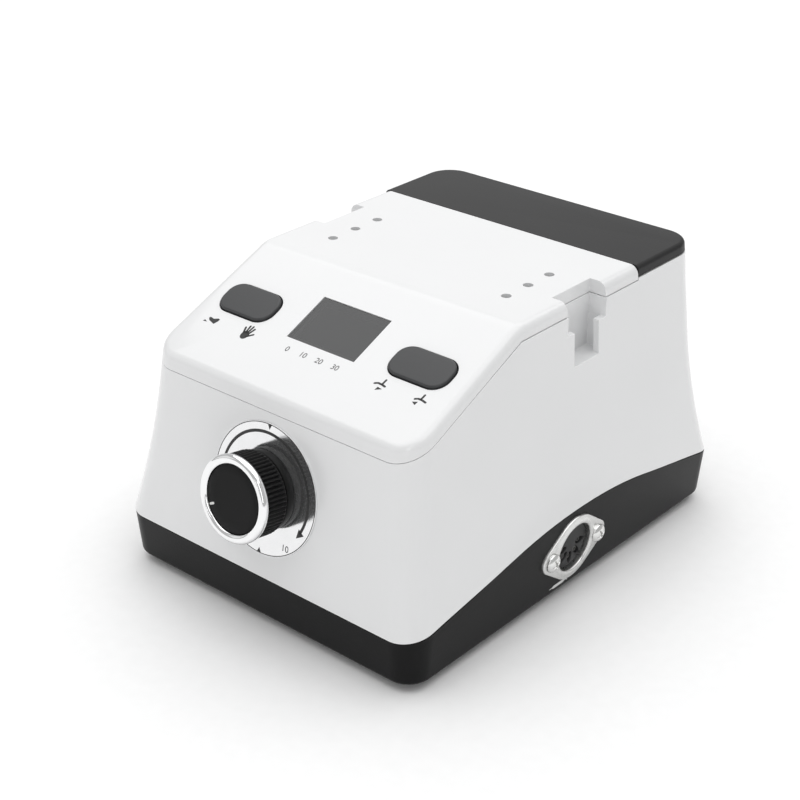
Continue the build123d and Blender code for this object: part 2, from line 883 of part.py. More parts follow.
# ---------------------------------------------------------------- rear cover
# Black moulded lid behind the top cover, with two posts on the shell's rear tabs.
rear_front = cover_split + cover_gap
hollow_top = upper_block(cover_wall, top_height - cover_wall)
with BuildPart() as rear_hollow:
    add(hollow_top)
    add(region_behind(rear_front + cover_wall), mode=Mode.INTERSECT)
with BuildPart() as rear_cover:
    add(outer_top)
    add(region_behind(rear_front), mode=Mode.INTERSECT)
    lid_top = rear_cover.faces().sort_by(Axis.Z)[-1]
    fillet(
        lid_top.edges().filter_by(lambda edge: edge.center().Y > rear_front + 0.1),
        rear_edge_round,
    )
    add(rear_hollow.part, mode=Mode.SUBTRACT)
    add(below_parting(cover_gap), mode=Mode.SUBTRACT)
    with BuildSketch(Plane.XY.offset(back_tab[1])):
        with Locations((-tab_side, back_tab[0]), (tab_side, back_tab[0])):
            Circle(cover_post_radius)
    extrude(amount=top_height - cover_wall / 2 - back_tab[1])
    with BuildSketch(Plane.XY.offset(back_tab[1])):
        with Locations((-tab_side, back_tab[0]), (tab_side, back_tab[0])):
            Circle(cover_screw_radius + shaft_fit)
    extrude(amount=cover_screw_length - tab_thickness + hole_fit, mode=Mode.SUBTRACT)
write(rear_cover, "rear_cover")

# ---------------------------------------------------------------- cover screws
# Pan-head screws driven up through the shell's tabs into the posts of both covers.
with BuildPart() as cover_screws:
    for y, height in tab_heights:
        face = Plane(origin=(0, 0, height - tab_thickness), x_dir=(1, 0, 0), z_dir=(0, 0, -1))
        screws = [(-tab_side, -y), (tab_side, -y)]
        with BuildSketch(face):
            with Locations(*screws):
                Circle(cover_screw_radius)
        extrude(amount=-cover_screw_length)
        with BuildSketch(face):
            with Locations(*screws):
                Circle(cover_head_radius)
        extrude(amount=cover_head_rise)
write(cover_screws, "cover_screws")

# ---------------------------------------------------------------- display
# Tinted acrylic window glued in its seat, and the three-digit module on the panel board under it.
with BuildPart() as display_window:
    with BuildSketch(slope_face.offset(-window_seat)):
        Rectangle(window_width, window_height)
    extrude(amount=window_thickness)
write(display_window, "display_window")

with BuildPart() as display_module:
    with BuildSketch(slope_face.offset(-board_depth)):
        Rectangle(display_width, display_height)
    extrude(amount=board_depth - cover_wall - display_gap)
write(display_module, "display_module")

# ---------------------------------------------------------------- panel board
# Circuit board that hangs from the cover's four posts, with its screws from below.
with BuildPart() as panel_board:
    with BuildSketch(slope_face.offset(-board_depth)):
        Rectangle(2 * board_half_width, 2 * board_half_height)
        with Locations(*post_spots):
            Circle(panel_screw_radius + hole_fit, mode=Mode.SUBTRACT)
    extrude(amount=-board_thickness)
write(panel_board, "panel_board")

under_board = Plane(
    origin=slope_face.offset(-board_depth - board_thickness).origin,
    x_dir=(-1, 0, 0),
    z_dir=-slope_face.z_dir,
)
panel_screws = pan_screws(
    under_board,
    post_spots,
    panel_screw_radius,
    panel_screw_length,
    panel_screw_radius * screw_head_ratio,
    screw_head_rise,
)
write(panel_screws, "panel_screws")

# ---------------------------------------------------------------- key switches
# Four push switches on the panel board, one under each end of each key.
switch_spots = [(x + reach, y) for x, y in key_spots for reach in (-plunger_spread, plunger_spread)]
with BuildPart() as key_switches:
    with BuildSketch(slope_face.offset(-board_depth)):
        with Locations(*switch_spots):
            Rectangle(switch_side_length, switch_side_length)
    extrude(amount=switch_body_rise)
    with BuildSketch(slope_face.offset(-board_depth)):
        with Locations(*switch_spots):
            Circle(switch_button_radius)
    extrude(amount=board_depth - plunger_bottom - switch_gap)
write(key_switches, "key_switches")

# ---------------------------------------------------------------- keys
# Rounded oblong keys that rock on two pins in the cover's ears and press a switch at either end.
key_names = ["mode_key", "direction_key"]
for (x, y), name in zip(key_spots, key_names):
    with BuildPart() as key:
        with BuildSketch(slope_face.offset(key_proud)):
            with Locations((x, y)):
                RectangleRounded(key_width, key_height, key_corner)
        extrude(amount=-key_proud - key_skirt)
        key_top = key.faces().sort_by(Axis(slope_face.origin, slope_face.z_dir))[-1]
        fillet(key_top.edges(), key_edge_round)
        with BuildSketch(slope_face.offset(-key_skirt)):
            with Locations((x - plunger_spread, y), (x + plunger_spread, y)):
                Circle(plunger_radius)
        extrude(amount=key_skirt - plunger_bottom)
        with BuildSketch(slope_face.offset(-key_skirt)):
            with Locations((x, y)):
                Rectangle(2 * key_stem_half - 1, key_height - 1)
        extrude(amount=key_skirt - key_pivot_depth - key_pin_radius)
        with Locations(slope_face.location * Location((x, y, -key_pivot_depth), (90, 0, 0))):
            Cylinder(key_pin_radius, 2 * ear_outer)
    write(key, name)

# ---------------------------------------------------------------- dial plate
# Thin mirror-finished disc stuck on the front wall around the knob.
with BuildPart() as dial_plate:
    with BuildSketch(dial_face):
        Circle(dial_radius)
        Circle(bushing_radius + bushing_fit, mode=Mode.SUBTRACT)
    extrude(amount=dial_thickness)
write(dial_plate, "dial_plate")

# ---------------------------------------------------------------- potentiometer
# Body with its lugs behind the front wall, brass bushing through the wall, and the nut and washer
# that clamp wall and dial plate. The shaft turns in the bushing and carries the knob.
pot_face = dial_face.offset(-shell_wall)
with BuildPart() as pot_body:
    with BuildSketch(pot_face):
        Circle(pot_radius)
    extrude(amount=-pot_depth)
    with BuildSketch(pot_face.offset(-pot_depth / 2)):
        with Locations((-5, -pot_radius - 2), (0, -pot_radius - 2), (5, -pot_radius - 2)):
            Rectangle(2.4, 6)
    extrude(amount=0.8)
    with BuildSketch(pot_face):
        Circle(shaft_radius + shaft_fit)
    extrude(amount=-shaft_tail - shaft_fit, mode=Mode.SUBTRACT)
write(pot_body, "pot_body")

with BuildPart() as pot_bushing:
    with BuildSketch(pot_face):
        Circle(bushing_radius)
        Circle(shaft_radius + shaft_fit, mode=Mode.SUBTRACT)
    extrude(amount=bushing_length)
write(pot_bushing, "pot_bushing")

washer_face = dial_face.offset(dial_thickness)
with BuildPart() as pot_washer:
    with BuildSketch(washer_face):
        Circle(washer_radius)
        Circle(bushing_radius + bushing_fit, mode=Mode.SUBTRACT)
    extrude(amount=washer_thickness)
write(pot_washer, "pot_washer")

with BuildPart() as pot_nut:
    with BuildSketch(washer_face.offset(washer_thickness)):
        RegularPolygon(pot_nut_width / 2, 6, major_radius=False)
        Circle(bushing_radius + shaft_fit, mode=Mode.SUBTRACT)
    extrude(amount=pot_nut_thickness)
write(pot_nut, "pot_nut")

with BuildPart() as pot_shaft:
    with BuildSketch(pot_face.offset(-shaft_tail)):
        Circle(shaft_radius)
    extrude(amount=shaft_tail + shell_wall + shaft_top)
write(pot_shaft, "pot_shaft")

# ---------------------------------------------------------------- speed knob
# Black moulded knob: skirt, neck and ribbed barrel in one piece, hollow behind to clear the nut.
knob_foot = dial_thickness + knob_foot_gap
skirt_top = (knob_foot + knob_rear) / 2
with BuildPart() as speed_knob:
    with BuildSketch(dial_face.offset(knob_foot)):
        Circle(knob_skirt_radius)
    extrude(amount=skirt_top - knob_foot)
    with BuildSketch(dial_face.offset(skirt_top)):
        Circle(knob_neck_radius)
    extrude(amount=knob_rear - skirt_top)
    with BuildSketch(dial_face.offset(knob_rear)):
        Circle(knob_radius)
        with PolarLocations(knob_radius, knob_rib_count):
            Circle(knob_rib_depth, mode=Mode.SUBTRACT)
    extrude(amount=knob_front - knob_rear)
    with BuildSketch(dial_face.offset(knob_foot)):
        Circle(knob_recess)
    extrude(amount=knob_recess_top - knob_foot, mode=Mode.SUBTRACT)
    with BuildSketch(dial_face.offset(knob_foot)):
        Circle(shaft_radius + shaft_fit)
    extrude(amount=knob_bore_top - knob_foot, mode=Mode.SUBTRACT)
write(speed_knob, "speed_knob")

# ---------------------------------------------------------------- knob ring and cap
# Chrome ring with a rounded outer side, pressed on the front of the barrel around a flat black cap.
knob_section = Plane(origin=dial_face.origin, x_dir=dial_face.x_dir, z_dir=-dial_face.y_dir)
ring_bulge = (knob_front + ring_front) / 2 - 0.2
with BuildPart() as knob_ring:
    with BuildSketch(knob_section):
        with BuildLine():
            Line((ring_inner_radius, knob_front), (knob_radius, knob_front))
            ThreePointArc(
                (knob_radius, knob_front),
                (ring_radius, ring_bulge),
                (ring_crest_radius, ring_front),
            )
            Line((ring_crest_radius, ring_front), (ring_inner_radius, cap_front))
            Line((ring_inner_radius, cap_front), (ring_inner_radius, knob_front))
        make_face()
    revolve(axis=Axis(dial_face.origin, dial_face.z_dir))
write(knob_ring, "knob_ring")

with BuildPart() as knob_cap:
    with BuildSketch(dial_face.offset(knob_front)):
        Circle(cap_radius)
    extrude(amount=cap_front - knob_front - cap_recess)
write(knob_cap, "knob_cap")

# ---------------------------------------------------------------- motor socket
# DIN chassis socket on the tray's right wall: plated flange with its can, black insulator with a
# keyway, five contacts, and two cross-head screws with nuts behind the wall.
with BuildPart() as socket_flange:
    with BuildSketch(socket_face):
        Circle(socket_flange_radius)
        with Locations(*socket_screw_spots):
            Circle(socket_ear_radius)
        make_hull()
        Circle(socket_bore, mode=Mode.SUBTRACT)
        with Locations(*socket_screw_spots):
            Circle(socket_screw_radius + hole_fit, mode=Mode.SUBTRACT)
    extrude(amount=socket_flange_thickness)
    with BuildSketch(socket_face):
        Circle(socket_bore + socket_can_wall)
        Circle(socket_bore, mode=Mode.SUBTRACT)
    extrude(amount=-socket_can_depth)
write(socket_flange, "socket_flange")

contact_spots = [
    (contact_circle * cos(radians(180 + i * 45)), contact_circle * sin(radians(180 + i * 45)))
    for i in range(contact_count)
]
insulator_face = socket_face.offset(socket_flange_thickness - socket_recess)
with BuildPart() as socket_insulator:
    with BuildSketch(insulator_face):
        Circle(socket_bore - insulator_fit)
        with Locations((0, socket_bore - insulator_key_depth / 2)):
            Rectangle(insulator_key_width, insulator_key_depth, mode=Mode.SUBTRACT)
        with Locations(*contact_spots):
            Circle(contact_radius, mode=Mode.SUBTRACT)
    extrude(amount=-insulator_depth)
write(socket_insulator, "socket_insulator")

with BuildPart() as socket_contacts:
    with BuildSketch(insulator_face.offset(-contact_recess)):
        with Locations(*contact_spots):
            Circle(contact_radius)
    extrude(amount=contact_recess - insulator_depth - contact_tail)
    with BuildSketch(insulator_face.offset(-contact_recess)):
        with Locations(*contact_spots):
            Circle(contact_bore)
    extrude(amount=-insulator_depth / 2, mode=Mode.SUBTRACT)
write(socket_contacts, "socket_contacts")

socket_screws = pan_screws(
    socket_face.offset(socket_flange_thickness),
    socket_screw_spots,
    socket_screw_radius,
    socket_screw_length,
    socket_screw_head,
    socket_screw_rise,
)
write(socket_screws, "socket_screws")

with BuildPart() as socket_nuts:
    with BuildSketch(socket_face.offset(-base_wall)):
        with Locations(*socket_screw_spots):
            RegularPolygon(socket_nut_width / 2, 6, major_radius=False, rotation=30)
        with Locations(*socket_screw_spots):
            Circle(socket_screw_radius + shaft_fit, mode=Mode.SUBTRACT)
    extrude(amount=-socket_nut_thickness)
write(socket_nuts, "socket_nuts")

# ---------------------------------------------------------------- feet and case screws
# Four rubber feet glued in shallow seats, and four long screws from below into the shell's posts.
with BuildPart() as rubber_feet:
    with BuildSketch(Plane.XY.offset(foot_seat)):
        with Locations(*foot_spots):
            Circle(foot_radius)
    extrude(amount=-foot_seat - foot_height)
    chamfer(rubber_feet.faces().group_by(Axis.Z)[0].edges(), foot_seat)
write(rubber_feet, "rubber_feet")

under_case = Plane(origin=(0, 0, case_head_seat), x_dir=(1, 0, 0), z_dir=(0, 0, -1))
case_screws = pan_screws(
    under_case,
    [(x, -y) for x, y in case_screw_spots],
    case_screw_radius,
    case_screw_length,
    case_head_radius,
    case_head_rise,
)
write(case_screws, "case_screws")

# ---------------------------------------------------------------- main board
# Circuit board on four standoffs of the tray, with the parts that it carries.
board_top = base_floor + standoff_height + board_thickness
with BuildPart() as main_board:
    with BuildSketch(Plane.XY.offset(base_floor + standoff_height)):
        with Locations((0, (board_ends[0] + board_ends[1]) / 2)):
            Rectangle(
                board_sides[1] - board_sides[0] + 2 * board_margin,
                board_ends[1] - board_ends[0] + 2 * board_margin,
            )
        with Locations(*board_spots):
            Circle(board_screw_radius + hole_fit, mode=Mode.SUBTRACT)
    extrude(amount=board_thickness)
write(main_board, "main_board")

board_screws = pan_screws(
    Plane.XY.offset(board_top),
    board_spots,
    board_screw_radius,
    board_screw_length,
    board_screw_radius * screw_head_ratio,
    screw_head_rise,
)
write(board_screws, "board_screws")

fin_pitch = (heat_sink_length - fin_thickness) / (fin_count - 1)
with BuildPart() as heat_sink:
    with BuildSketch(Plane.XY.offset(board_top)):
        with Locations((heat_sink_side, heat_sink_end)):
            Rectangle(heat_sink_base, heat_sink_length)
            with Locations(((heat_sink_base + fin_depth) / 2, 0)):
                with GridLocations(1, fin_pitch, 1, fin_count):
                    Rectangle(fin_depth, fin_thickness)
    extrude(amount=heat_sink_height)
write(heat_sink, "heat_sink")

with BuildPart() as power_transistor:
    with BuildSketch(Plane.XY.offset(board_top + 4)):
        with Locations((heat_sink_side - (heat_sink_base + transistor_depth) / 2, heat_sink_end)):
            Rectangle(transistor_depth, transistor_width)
    extrude(amount=transistor_height)
    with BuildSketch(Plane.XY.offset(board_top)):
        with Locations((heat_sink_side - (heat_sink_base + transistor_depth) / 2, heat_sink_end)):
            with GridLocations(1, 2.54, 1, 3):
                Rectangle(0.5, 0.8)
    extrude(amount=4)
write(power_transistor, "power_transistor")

with BuildPart() as capacitors:
    with BuildSketch(Plane.XY.offset(board_top)):
        with Locations(*capacitor_spots):
            Circle(capacitor_radius)
    extrude(amount=capacitor_height)
    fillet(capacitors.faces().group_by(Axis.Z)[-1].edges(), 0.8)
write(capacitors, "capacitors")

with BuildPart() as board_connectors:
    with BuildSketch(Plane.XY.offset(board_top)):
        with Locations(*connector_spots):
            Rectangle(connector_size[0], connector_size[1])
    extrude(amount=connector_size[2])
write(board_connectors, "board_connectors")

# ---------------------------------------------------------------- transformer
# Laminated core in a steel bracket on two bosses of the tray, bobbin on the middle limb, primary
# winding next to it and secondary winding over that.
core_bottom = base_floor + bracket_boss_height
core_middle = core_bottom + core_height / 2
window_half = (core_width - 4 * core_limb) / 4
core_section = Plane(origin=(core_side, core_end, core_middle), x_dir=(1, 0, 0), z_dir=(0, -1, 0))
with BuildPart() as transformer_core:
    with BuildSketch(core_section):
        Rectangle(core_width, core_height)
        with Locations((-core_limb - window_half, 0), (core_limb + window_half, 0)):
            Rectangle(2 * window_half, core_height - 2 * core_limb, mode=Mode.SUBTRACT)
    extrude(amount=core_depth / 2, both=True)
write(transformer_core, "transformer_core")


def limb_ring(inner, outer, middle, height):
    """Rectangular ring round the core's middle limb, between two distances from the limb."""
    with BuildPart() as ring:
        with BuildSketch(Plane.XY.offset(core_middle + middle)):
            with Locations((core_side, core_end)):
                Rectangle(2 * (core_limb + outer), core_depth + 2 * outer)
                Rectangle(2 * (core_limb + inner), core_depth + 2 * inner, mode=Mode.SUBTRACT)
        extrude(amount=height / 2, both=True)
    return ring


bobbin_outer = winding_gap + bobbin_wall
primary_outer = bobbin_outer + primary_thickness
winding_length = bobbin_length - 2 * bobbin_wall
flange_middle = (bobbin_length - bobbin_wall) / 2
bobbin_sleeve = limb_ring(winding_gap, bobbin_outer, 0, bobbin_length)
bobbin_foot = limb_ring(winding_gap, bobbin_flange, -flange_middle, bobbin_wall)
bobbin_head = limb_ring(winding_gap, bobbin_flange, flange_middle, bobbin_wall)
with BuildPart() as transformer_bobbin:
    add(bobbin_sleeve.part)
    add(bobbin_foot.part)
    add(bobbin_head.part)
write(transformer_bobbin, "transformer_bobbin")

primary_winding = limb_ring(bobbin_outer, primary_outer, 0, winding_length)
write(primary_winding, "primary_winding")

secondary_winding = limb_ring(primary_outer, primary_outer + secondary_thickness, 0, winding_length)
write(secondary_winding, "secondary_winding")

with BuildPart() as transformer_bracket:
    with BuildSketch(core_section):
        with Locations((0, bracket_thickness / 2)):
            Rectangle(core_width + 2 * bracket_thickness, core_height + bracket_thickness)
        with Locations((0, (bracket_thickness - core_height) / 2)):
            Rectangle(core_width + 2 * (bracket_thickness + bracket_foot), bracket_thickness)
        Rectangle(core_width, core_height, mode=Mode.SUBTRACT)
    extrude(amount=bracket_depth / 2, both=True)
    with BuildSketch(Plane.XY.offset(core_bottom)):
        with Locations(*bracket_spots):
            Circle(bracket_screw_radius + hole_fit)
    extrude(amount=bracket_thickness, mode=Mode.SUBTRACT)
write(transformer_bracket, "transformer_bracket")

bracket_screws = pan_screws(
    Plane.XY.offset(core_bottom + bracket_thickness),
    bracket_spots,
    bracket_screw_radius,
    bracket_screw_length,
    bracket_screw_radius * screw_head_ratio,
    screw_head_rise,
)
write(bracket_screws, "bracket_screws")

# ---------------------------------------------------------------- mains inlet
# Two-pole appliance inlet on the back wall: flange with a rounded mouth, two pins, two screws.
inlet_screw_spots = [(inlet_spot[0] + reach, 0) for reach in (-inlet_screw_side, inlet_screw_side)]
inlet_pin_spots = [(inlet_spot[0] + reach, 0) for reach in (-inlet_pin_side, inlet_pin_side)]
with BuildPart() as power_inlet:
    with BuildSketch(back_face):
        with Locations(inlet_spot):
            RectangleRounded(inlet_flange_width, inlet_flange_height, inlet_flange_corner)
        with Locations(*inlet_screw_spots):
            Circle(inlet_screw_radius + hole_fit, mode=Mode.SUBTRACT)
    extrude(amount=inlet_flange_thickness)
    with BuildSketch(back_face):
        with Locations(inlet_spot):
            Rectangle(inlet_body_width, inlet_body_height)
    extrude(amount=-inlet_body_depth)
    with BuildSketch(back_face.offset(inlet_flange_thickness)):
        with Locations(inlet_spot):
            SlotOverall(inlet_mouth_width, inlet_mouth_height)
    extrude(amount=-inlet_mouth_depth, mode=Mode.SUBTRACT)
    with BuildSketch(back_face):
        with Locations(*inlet_pin_spots):
            Circle(inlet_pin_radius)
    extrude(amount=-inlet_body_depth, mode=Mode.SUBTRACT)
write(power_inlet, "power_inlet")

with BuildPart() as inlet_pins:
    with BuildSketch(back_face.offset(inlet_flange_thickness - inlet_pin_front)):
        with Locations(*inlet_pin_spots):
            Circle(inlet_pin_radius)
    extrude(amount=-inlet_pin_tail)
write(inlet_pins, "inlet_pins")

inlet_screws = pan_screws(
    back_face.offset(inlet_flange_thickness),
    inlet_screw_spots,
    inlet_screw_radius,
    inlet_screw_length,
    inlet_screw_radius * screw_head_ratio,
    screw_head_rise,
)
write(inlet_screws, "inlet_screws")

# ---------------------------------------------------------------- power switch
# Snap-in switch body with a bezel, three terminals, and a rocker that turns on two pins.
with BuildPart() as power_switch_body:
    with BuildSketch(back_face):
        with Locations(switch_spot):
            Rectangle(switch_bezel_width, switch_bezel_height)
    extrude(amount=switch_bezel_thickness)
    with BuildSketch(back_face):
        with Locations(switch_spot):
            Rectangle(switch_body_width, switch_body_height)
    extrude(amount=-switch_body_depth)
    with BuildSketch(back_face.offset(switch_bezel_thickness)):
        with Locations(switch_spot):
            Rectangle(rocker_width + 2 * rocker_gap, switch_mouth_height)
    extrude(amount=-switch_mouth_depth, mode=Mode.SUBTRACT)
    with Locations(back_face.location * Location((*switch_spot, -rocker_pivot_depth), (0, 90, 0))):
        Cylinder(
            rocker_pin_radius + shaft_fit,
            rocker_width + 2 * (rocker_pin_reach + shaft_fit),
            mode=Mode.SUBTRACT,
        )
write(power_switch_body, "power_switch_body")

with BuildPart() as switch_terminals:
    with BuildSketch(back_face.offset(-switch_body_depth)):
        with Locations(switch_spot):
            with GridLocations(1, terminal_pitch, 1, 3):
                Rectangle(terminal_width, terminal_thickness)
    extrude(amount=-terminal_length)
write(switch_terminals, "switch_terminals")

rocker_pivot = back_face.from_local_coords((*switch_spot, -rocker_pivot_depth))
rocker_rise = radians(rocker_tilt)
rocker_section = Plane(
    origin=rocker_pivot,
    x_dir=back_face.y_dir * cos(rocker_rise) + back_face.z_dir * sin(rocker_rise),
    z_dir=(-1, 0, 0),
)
ridge_drop = rocker_radius * tan(radians(rocker_tilt))
with BuildPart() as power_rocker:
    with BuildSketch(rocker_section):
        Circle(rocker_radius)
        Polygon(
            (-rocker_radius, rocker_ridge - ridge_drop),
            (0, rocker_ridge),
            (rocker_radius, rocker_ridge - ridge_drop),
            (rocker_radius, -rocker_bottom),
            (-rocker_radius, -rocker_bottom),
            align=None,
            mode=Mode.INTERSECT,
        )
    extrude(amount=rocker_width / 2, both=True)
    with BuildSketch(rocker_section):
        Circle(rocker_pin_radius)
    extrude(amount=rocker_width / 2 + rocker_pin_reach, both=True)
write(power_rocker, "power_rocker")

# ---------------------------------------------------------------- fuse
# Panel fuse holder with a glass fuse and a bayonet cap that has a screwdriver slot.
fuse_plane = Plane(
    origin=back_face.from_local_coords((*fuse_spot, 0)),
    x_dir=back_face.x_dir,
    z_dir=back_face.z_dir,
)
with BuildPart() as fuse_holder:
    with BuildSketch(fuse_plane):
        Circle(fuse_flange_radius)
    extrude(amount=fuse_flange_thickness)
    with BuildSketch(fuse_plane):
        Circle(fuse_body_radius)
    extrude(amount=-fuse_body_depth)
    with BuildSketch(fuse_plane.offset(fuse_flange_thickness)):
        Circle(fuse_bore)
    extrude(amount=-fuse_flange_thickness - fuse_stem_depth - fuse_length, mode=Mode.SUBTRACT)
write(fuse_holder, "fuse_holder")

with BuildPart() as fuse_cap:
    with BuildSketch(fuse_plane.offset(fuse_flange_thickness)):
        Circle(fuse_cap_radius)
    extrude(amount=fuse_cap_front - fuse_flange_thickness)
    with BuildSketch(fuse_plane.offset(-fuse_stem_depth)):
        Circle(fuse_bore - hole_fit)
    extrude(amount=fuse_stem_depth + fuse_flange_thickness)
    with BuildSketch(fuse_plane.offset(fuse_cap_front)):
        Rectangle(2 * fuse_bore, fuse_slot_width)
    extrude(amount=-fuse_slot_width, mode=Mode.SUBTRACT)
write(fuse_cap, "fuse_cap")

with BuildPart() as fuse:
    with BuildSketch(fuse_plane.offset(-fuse_stem_depth)):
        Circle(fuse_radius)
    extrude(amount=-fuse_length)
write(fuse, "fuse")

# ---------------------------------------------------------------- pedal jack
# Quarter-inch jack: body inside the back wall, threaded sleeve through it and a hexagonal nut.
jack_plane = Plane(
    origin=back_face.from_local_coords((*jack_spot, 0)),
    x_dir=back_face.x_dir,
    z_dir=back_face.z_dir,
)
with BuildPart() as pedal_jack:
    with BuildSketch(jack_plane.offset(-shell_wall)):
        Rectangle(jack_body_width, jack_body_height)
    extrude(amount=shell_wall - jack_body_depth)
    with BuildSketch(jack_plane.offset(-shell_wall)):
        Circle(jack_thread_radius)
    extrude(amount=shell_wall + jack_thread_front)
    with BuildSketch(jack_plane.offset(jack_thread_front)):
        Circle(jack_bore)
    extrude(amount=-jack_thread_front - jack_bore_depth, mode=Mode.SUBTRACT)
write(pedal_jack, "pedal_jack")

with BuildPart() as jack_nut:
    with BuildSketch(jack_plane):
        RegularPolygon(jack_nut_width / 2, 6, major_radius=False)
        Circle(jack_thread_radius + shaft_fit, mode=Mode.SUBTRACT)
    extrude(amount=jack_nut_thickness)
write(jack_nut, "jack_nut")
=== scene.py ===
"""Looks of a nail drill's control box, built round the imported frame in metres.

The box is followed as it is put together: tray, shell, covers, display and keys, speed knob and its
dial, motor socket, the fittings of the back wall, and what the case holds inside.
"""

import json
from math import cos, pi, radians, sin

import bmesh
import bpy
import numpy as np
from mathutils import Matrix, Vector


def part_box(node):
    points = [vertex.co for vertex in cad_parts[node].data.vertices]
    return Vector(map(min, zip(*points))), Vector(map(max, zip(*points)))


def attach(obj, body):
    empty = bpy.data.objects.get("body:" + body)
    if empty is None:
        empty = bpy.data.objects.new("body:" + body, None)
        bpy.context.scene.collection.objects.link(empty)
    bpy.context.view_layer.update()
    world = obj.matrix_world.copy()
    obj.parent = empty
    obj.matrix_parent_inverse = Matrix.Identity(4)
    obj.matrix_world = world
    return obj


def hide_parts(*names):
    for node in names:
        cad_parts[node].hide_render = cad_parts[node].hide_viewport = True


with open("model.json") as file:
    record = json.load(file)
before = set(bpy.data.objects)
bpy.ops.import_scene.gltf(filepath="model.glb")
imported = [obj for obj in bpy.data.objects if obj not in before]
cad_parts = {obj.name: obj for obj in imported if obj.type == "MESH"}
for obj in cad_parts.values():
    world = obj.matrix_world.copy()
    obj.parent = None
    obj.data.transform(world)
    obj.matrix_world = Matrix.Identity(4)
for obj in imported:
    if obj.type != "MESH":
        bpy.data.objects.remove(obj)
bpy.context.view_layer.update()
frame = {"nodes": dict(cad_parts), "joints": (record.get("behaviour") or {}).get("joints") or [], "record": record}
nodes = frame["nodes"]
joints = {joint["name"]: joint for joint in frame["joints"]}
mounts = {mount["name"]: mount for mount in frame["record"]["mounts"]}
held_by = frame["record"]["behaviour"]["bodies"]
homes = {node: body for body, held in held_by.items() for node in held}

# ------------------------------------------------------------------ camera
# A long portrait lens about half a metre away, right of the box's front corner and looking down on
# it. It is turned about a point near the middle of the box.
camera_turn = radians(40.95)
camera_rise = radians(27.2)
camera_distance = 0.50996
tray_low, tray_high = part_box("base_tray")
tray_front = 0.5 * (tray_low.y + tray_high.y) - 0.0729
tray_bottom = tray_low.z
aim = Vector((0.00012, tray_front + 0.05949, tray_bottom + 0.04632))
sight = Vector(
    (
        sin(camera_turn) * cos(camera_rise),
        -cos(camera_turn) * cos(camera_rise),
        sin(camera_rise),
    )
)
lens = bpy.data.cameras.new("portrait_lens")
lens.lens = 77.43
lens.sensor_width = 36.0
lens.clip_start = 0.05
lens.clip_end = 20.0
camera = bpy.data.objects.new("camera", lens)
camera.location = aim + sight * camera_distance
camera.rotation_euler = sight.to_track_quat("Z", "Y").to_euler()
bpy.context.scene.collection.objects.link(camera)
bpy.context.scene.camera = camera

# ------------------------------------------------------------------ studio
# White room light, a wide soft box overhead, a weak one behind that the flat top mirrors, a tall
# one and a narrow strip in front that draw the streak down the shell's corner, and a low fill from
# the left. The floor is pale matt card.
bpy.context.scene.view_settings.view_transform = "Standard"
room = bpy.data.worlds.new("room")
bpy.context.scene.world = room
room.use_nodes = True
room.node_tree.nodes["Background"].inputs["Color"].default_value = (1.0, 1.0, 1.0, 1.0)
room.node_tree.nodes["Background"].inputs["Strength"].default_value = 0.5


def softbox(name, place, target, width, height, watts):
    """A rectangular area light at a place, facing a target."""
    panel = bpy.data.lights.new(name, "AREA")
    panel.shape = "RECTANGLE"
    panel.size = width
    panel.size_y = height
    panel.energy = watts
    lamp = bpy.data.objects.new(name, panel)
    lamp.location = place
    lamp.rotation_euler = (Vector(place) - Vector(target)).to_track_quat("Z", "Y").to_euler()
    bpy.context.scene.collection.objects.link(lamp)


softbox("overhead_box", (-0.1, 0.2, 2.0), (0, 0, 0), 3.2, 3.2, 43.0)
softbox("rear_box", (-0.87, 1.0, 0.69), (0, 0, 0.06), 1.0, 0.8, 1.3)
softbox("corner_box", (0.62, -0.95, 0.55), (0, 0, 0.05), 0.16, 0.9, 1.2)
softbox("front_strip", (-0.175, -1.16, 0.24), (0, 0, 0.05), 0.06, 0.3, 0.12)
softbox("left_fill", (-1.2, -0.7, 0.5), (0, 0, 0.05), 0.9, 0.7, 0.6)


class Wire:
    """An output socket of a finish. Arithmetic on wires and numbers adds Math nodes."""

    def __init__(self, tree, socket):
        self.tree = tree
        self.socket = socket

    def node(self, kind, settings, inputs, output=0):
        """Adds one node: settings first, then its sockets' values or links. Returns an output."""
        made = self.tree.nodes.new(kind)
        for key, value in settings.items():
            if key == "stops":
                ramp = made.color_ramp
                while len(ramp.elements) < len(value):
                    ramp.elements.new(1.0)
                for stop, (place, shade) in zip(ramp.elements, value):
                    stop.position = place
                    stop.color = (shade, shade, shade, 1.0)
            else:
                setattr(made, key, value)
        for key, value in inputs.items():
            if isinstance(value, Wire):
                self.tree.links.new(value.socket, made.inputs[key])
            else:
                made.inputs[key].default_value = value
        return Wire(self.tree, made.outputs[output])

    def math(self, operation, *others):
        """A Math node on this wire and any others."""
        values = dict(enumerate((self, *others)))
        return self.node("ShaderNodeMath", {"operation": operation}, values)

    def __add__(self, other):
        return self.math("ADD", other)

    def __sub__(self, other):
        return self.math("SUBTRACT", other)

    def __rsub__(self, other):
        return (self * -1.0).math("ADD", other)

    def __mul__(self, other):
        return self.math("MULTIPLY", other)

    def __truediv__(self, other):
        return self.math("DIVIDE", other)

    def __gt__(self, other):
        return self.math("GREATER_THAN", other)

    def __lt__(self, other):
        return self.math("LESS_THAN", other)

    __radd__ = __add__
    __rmul__ = __mul__


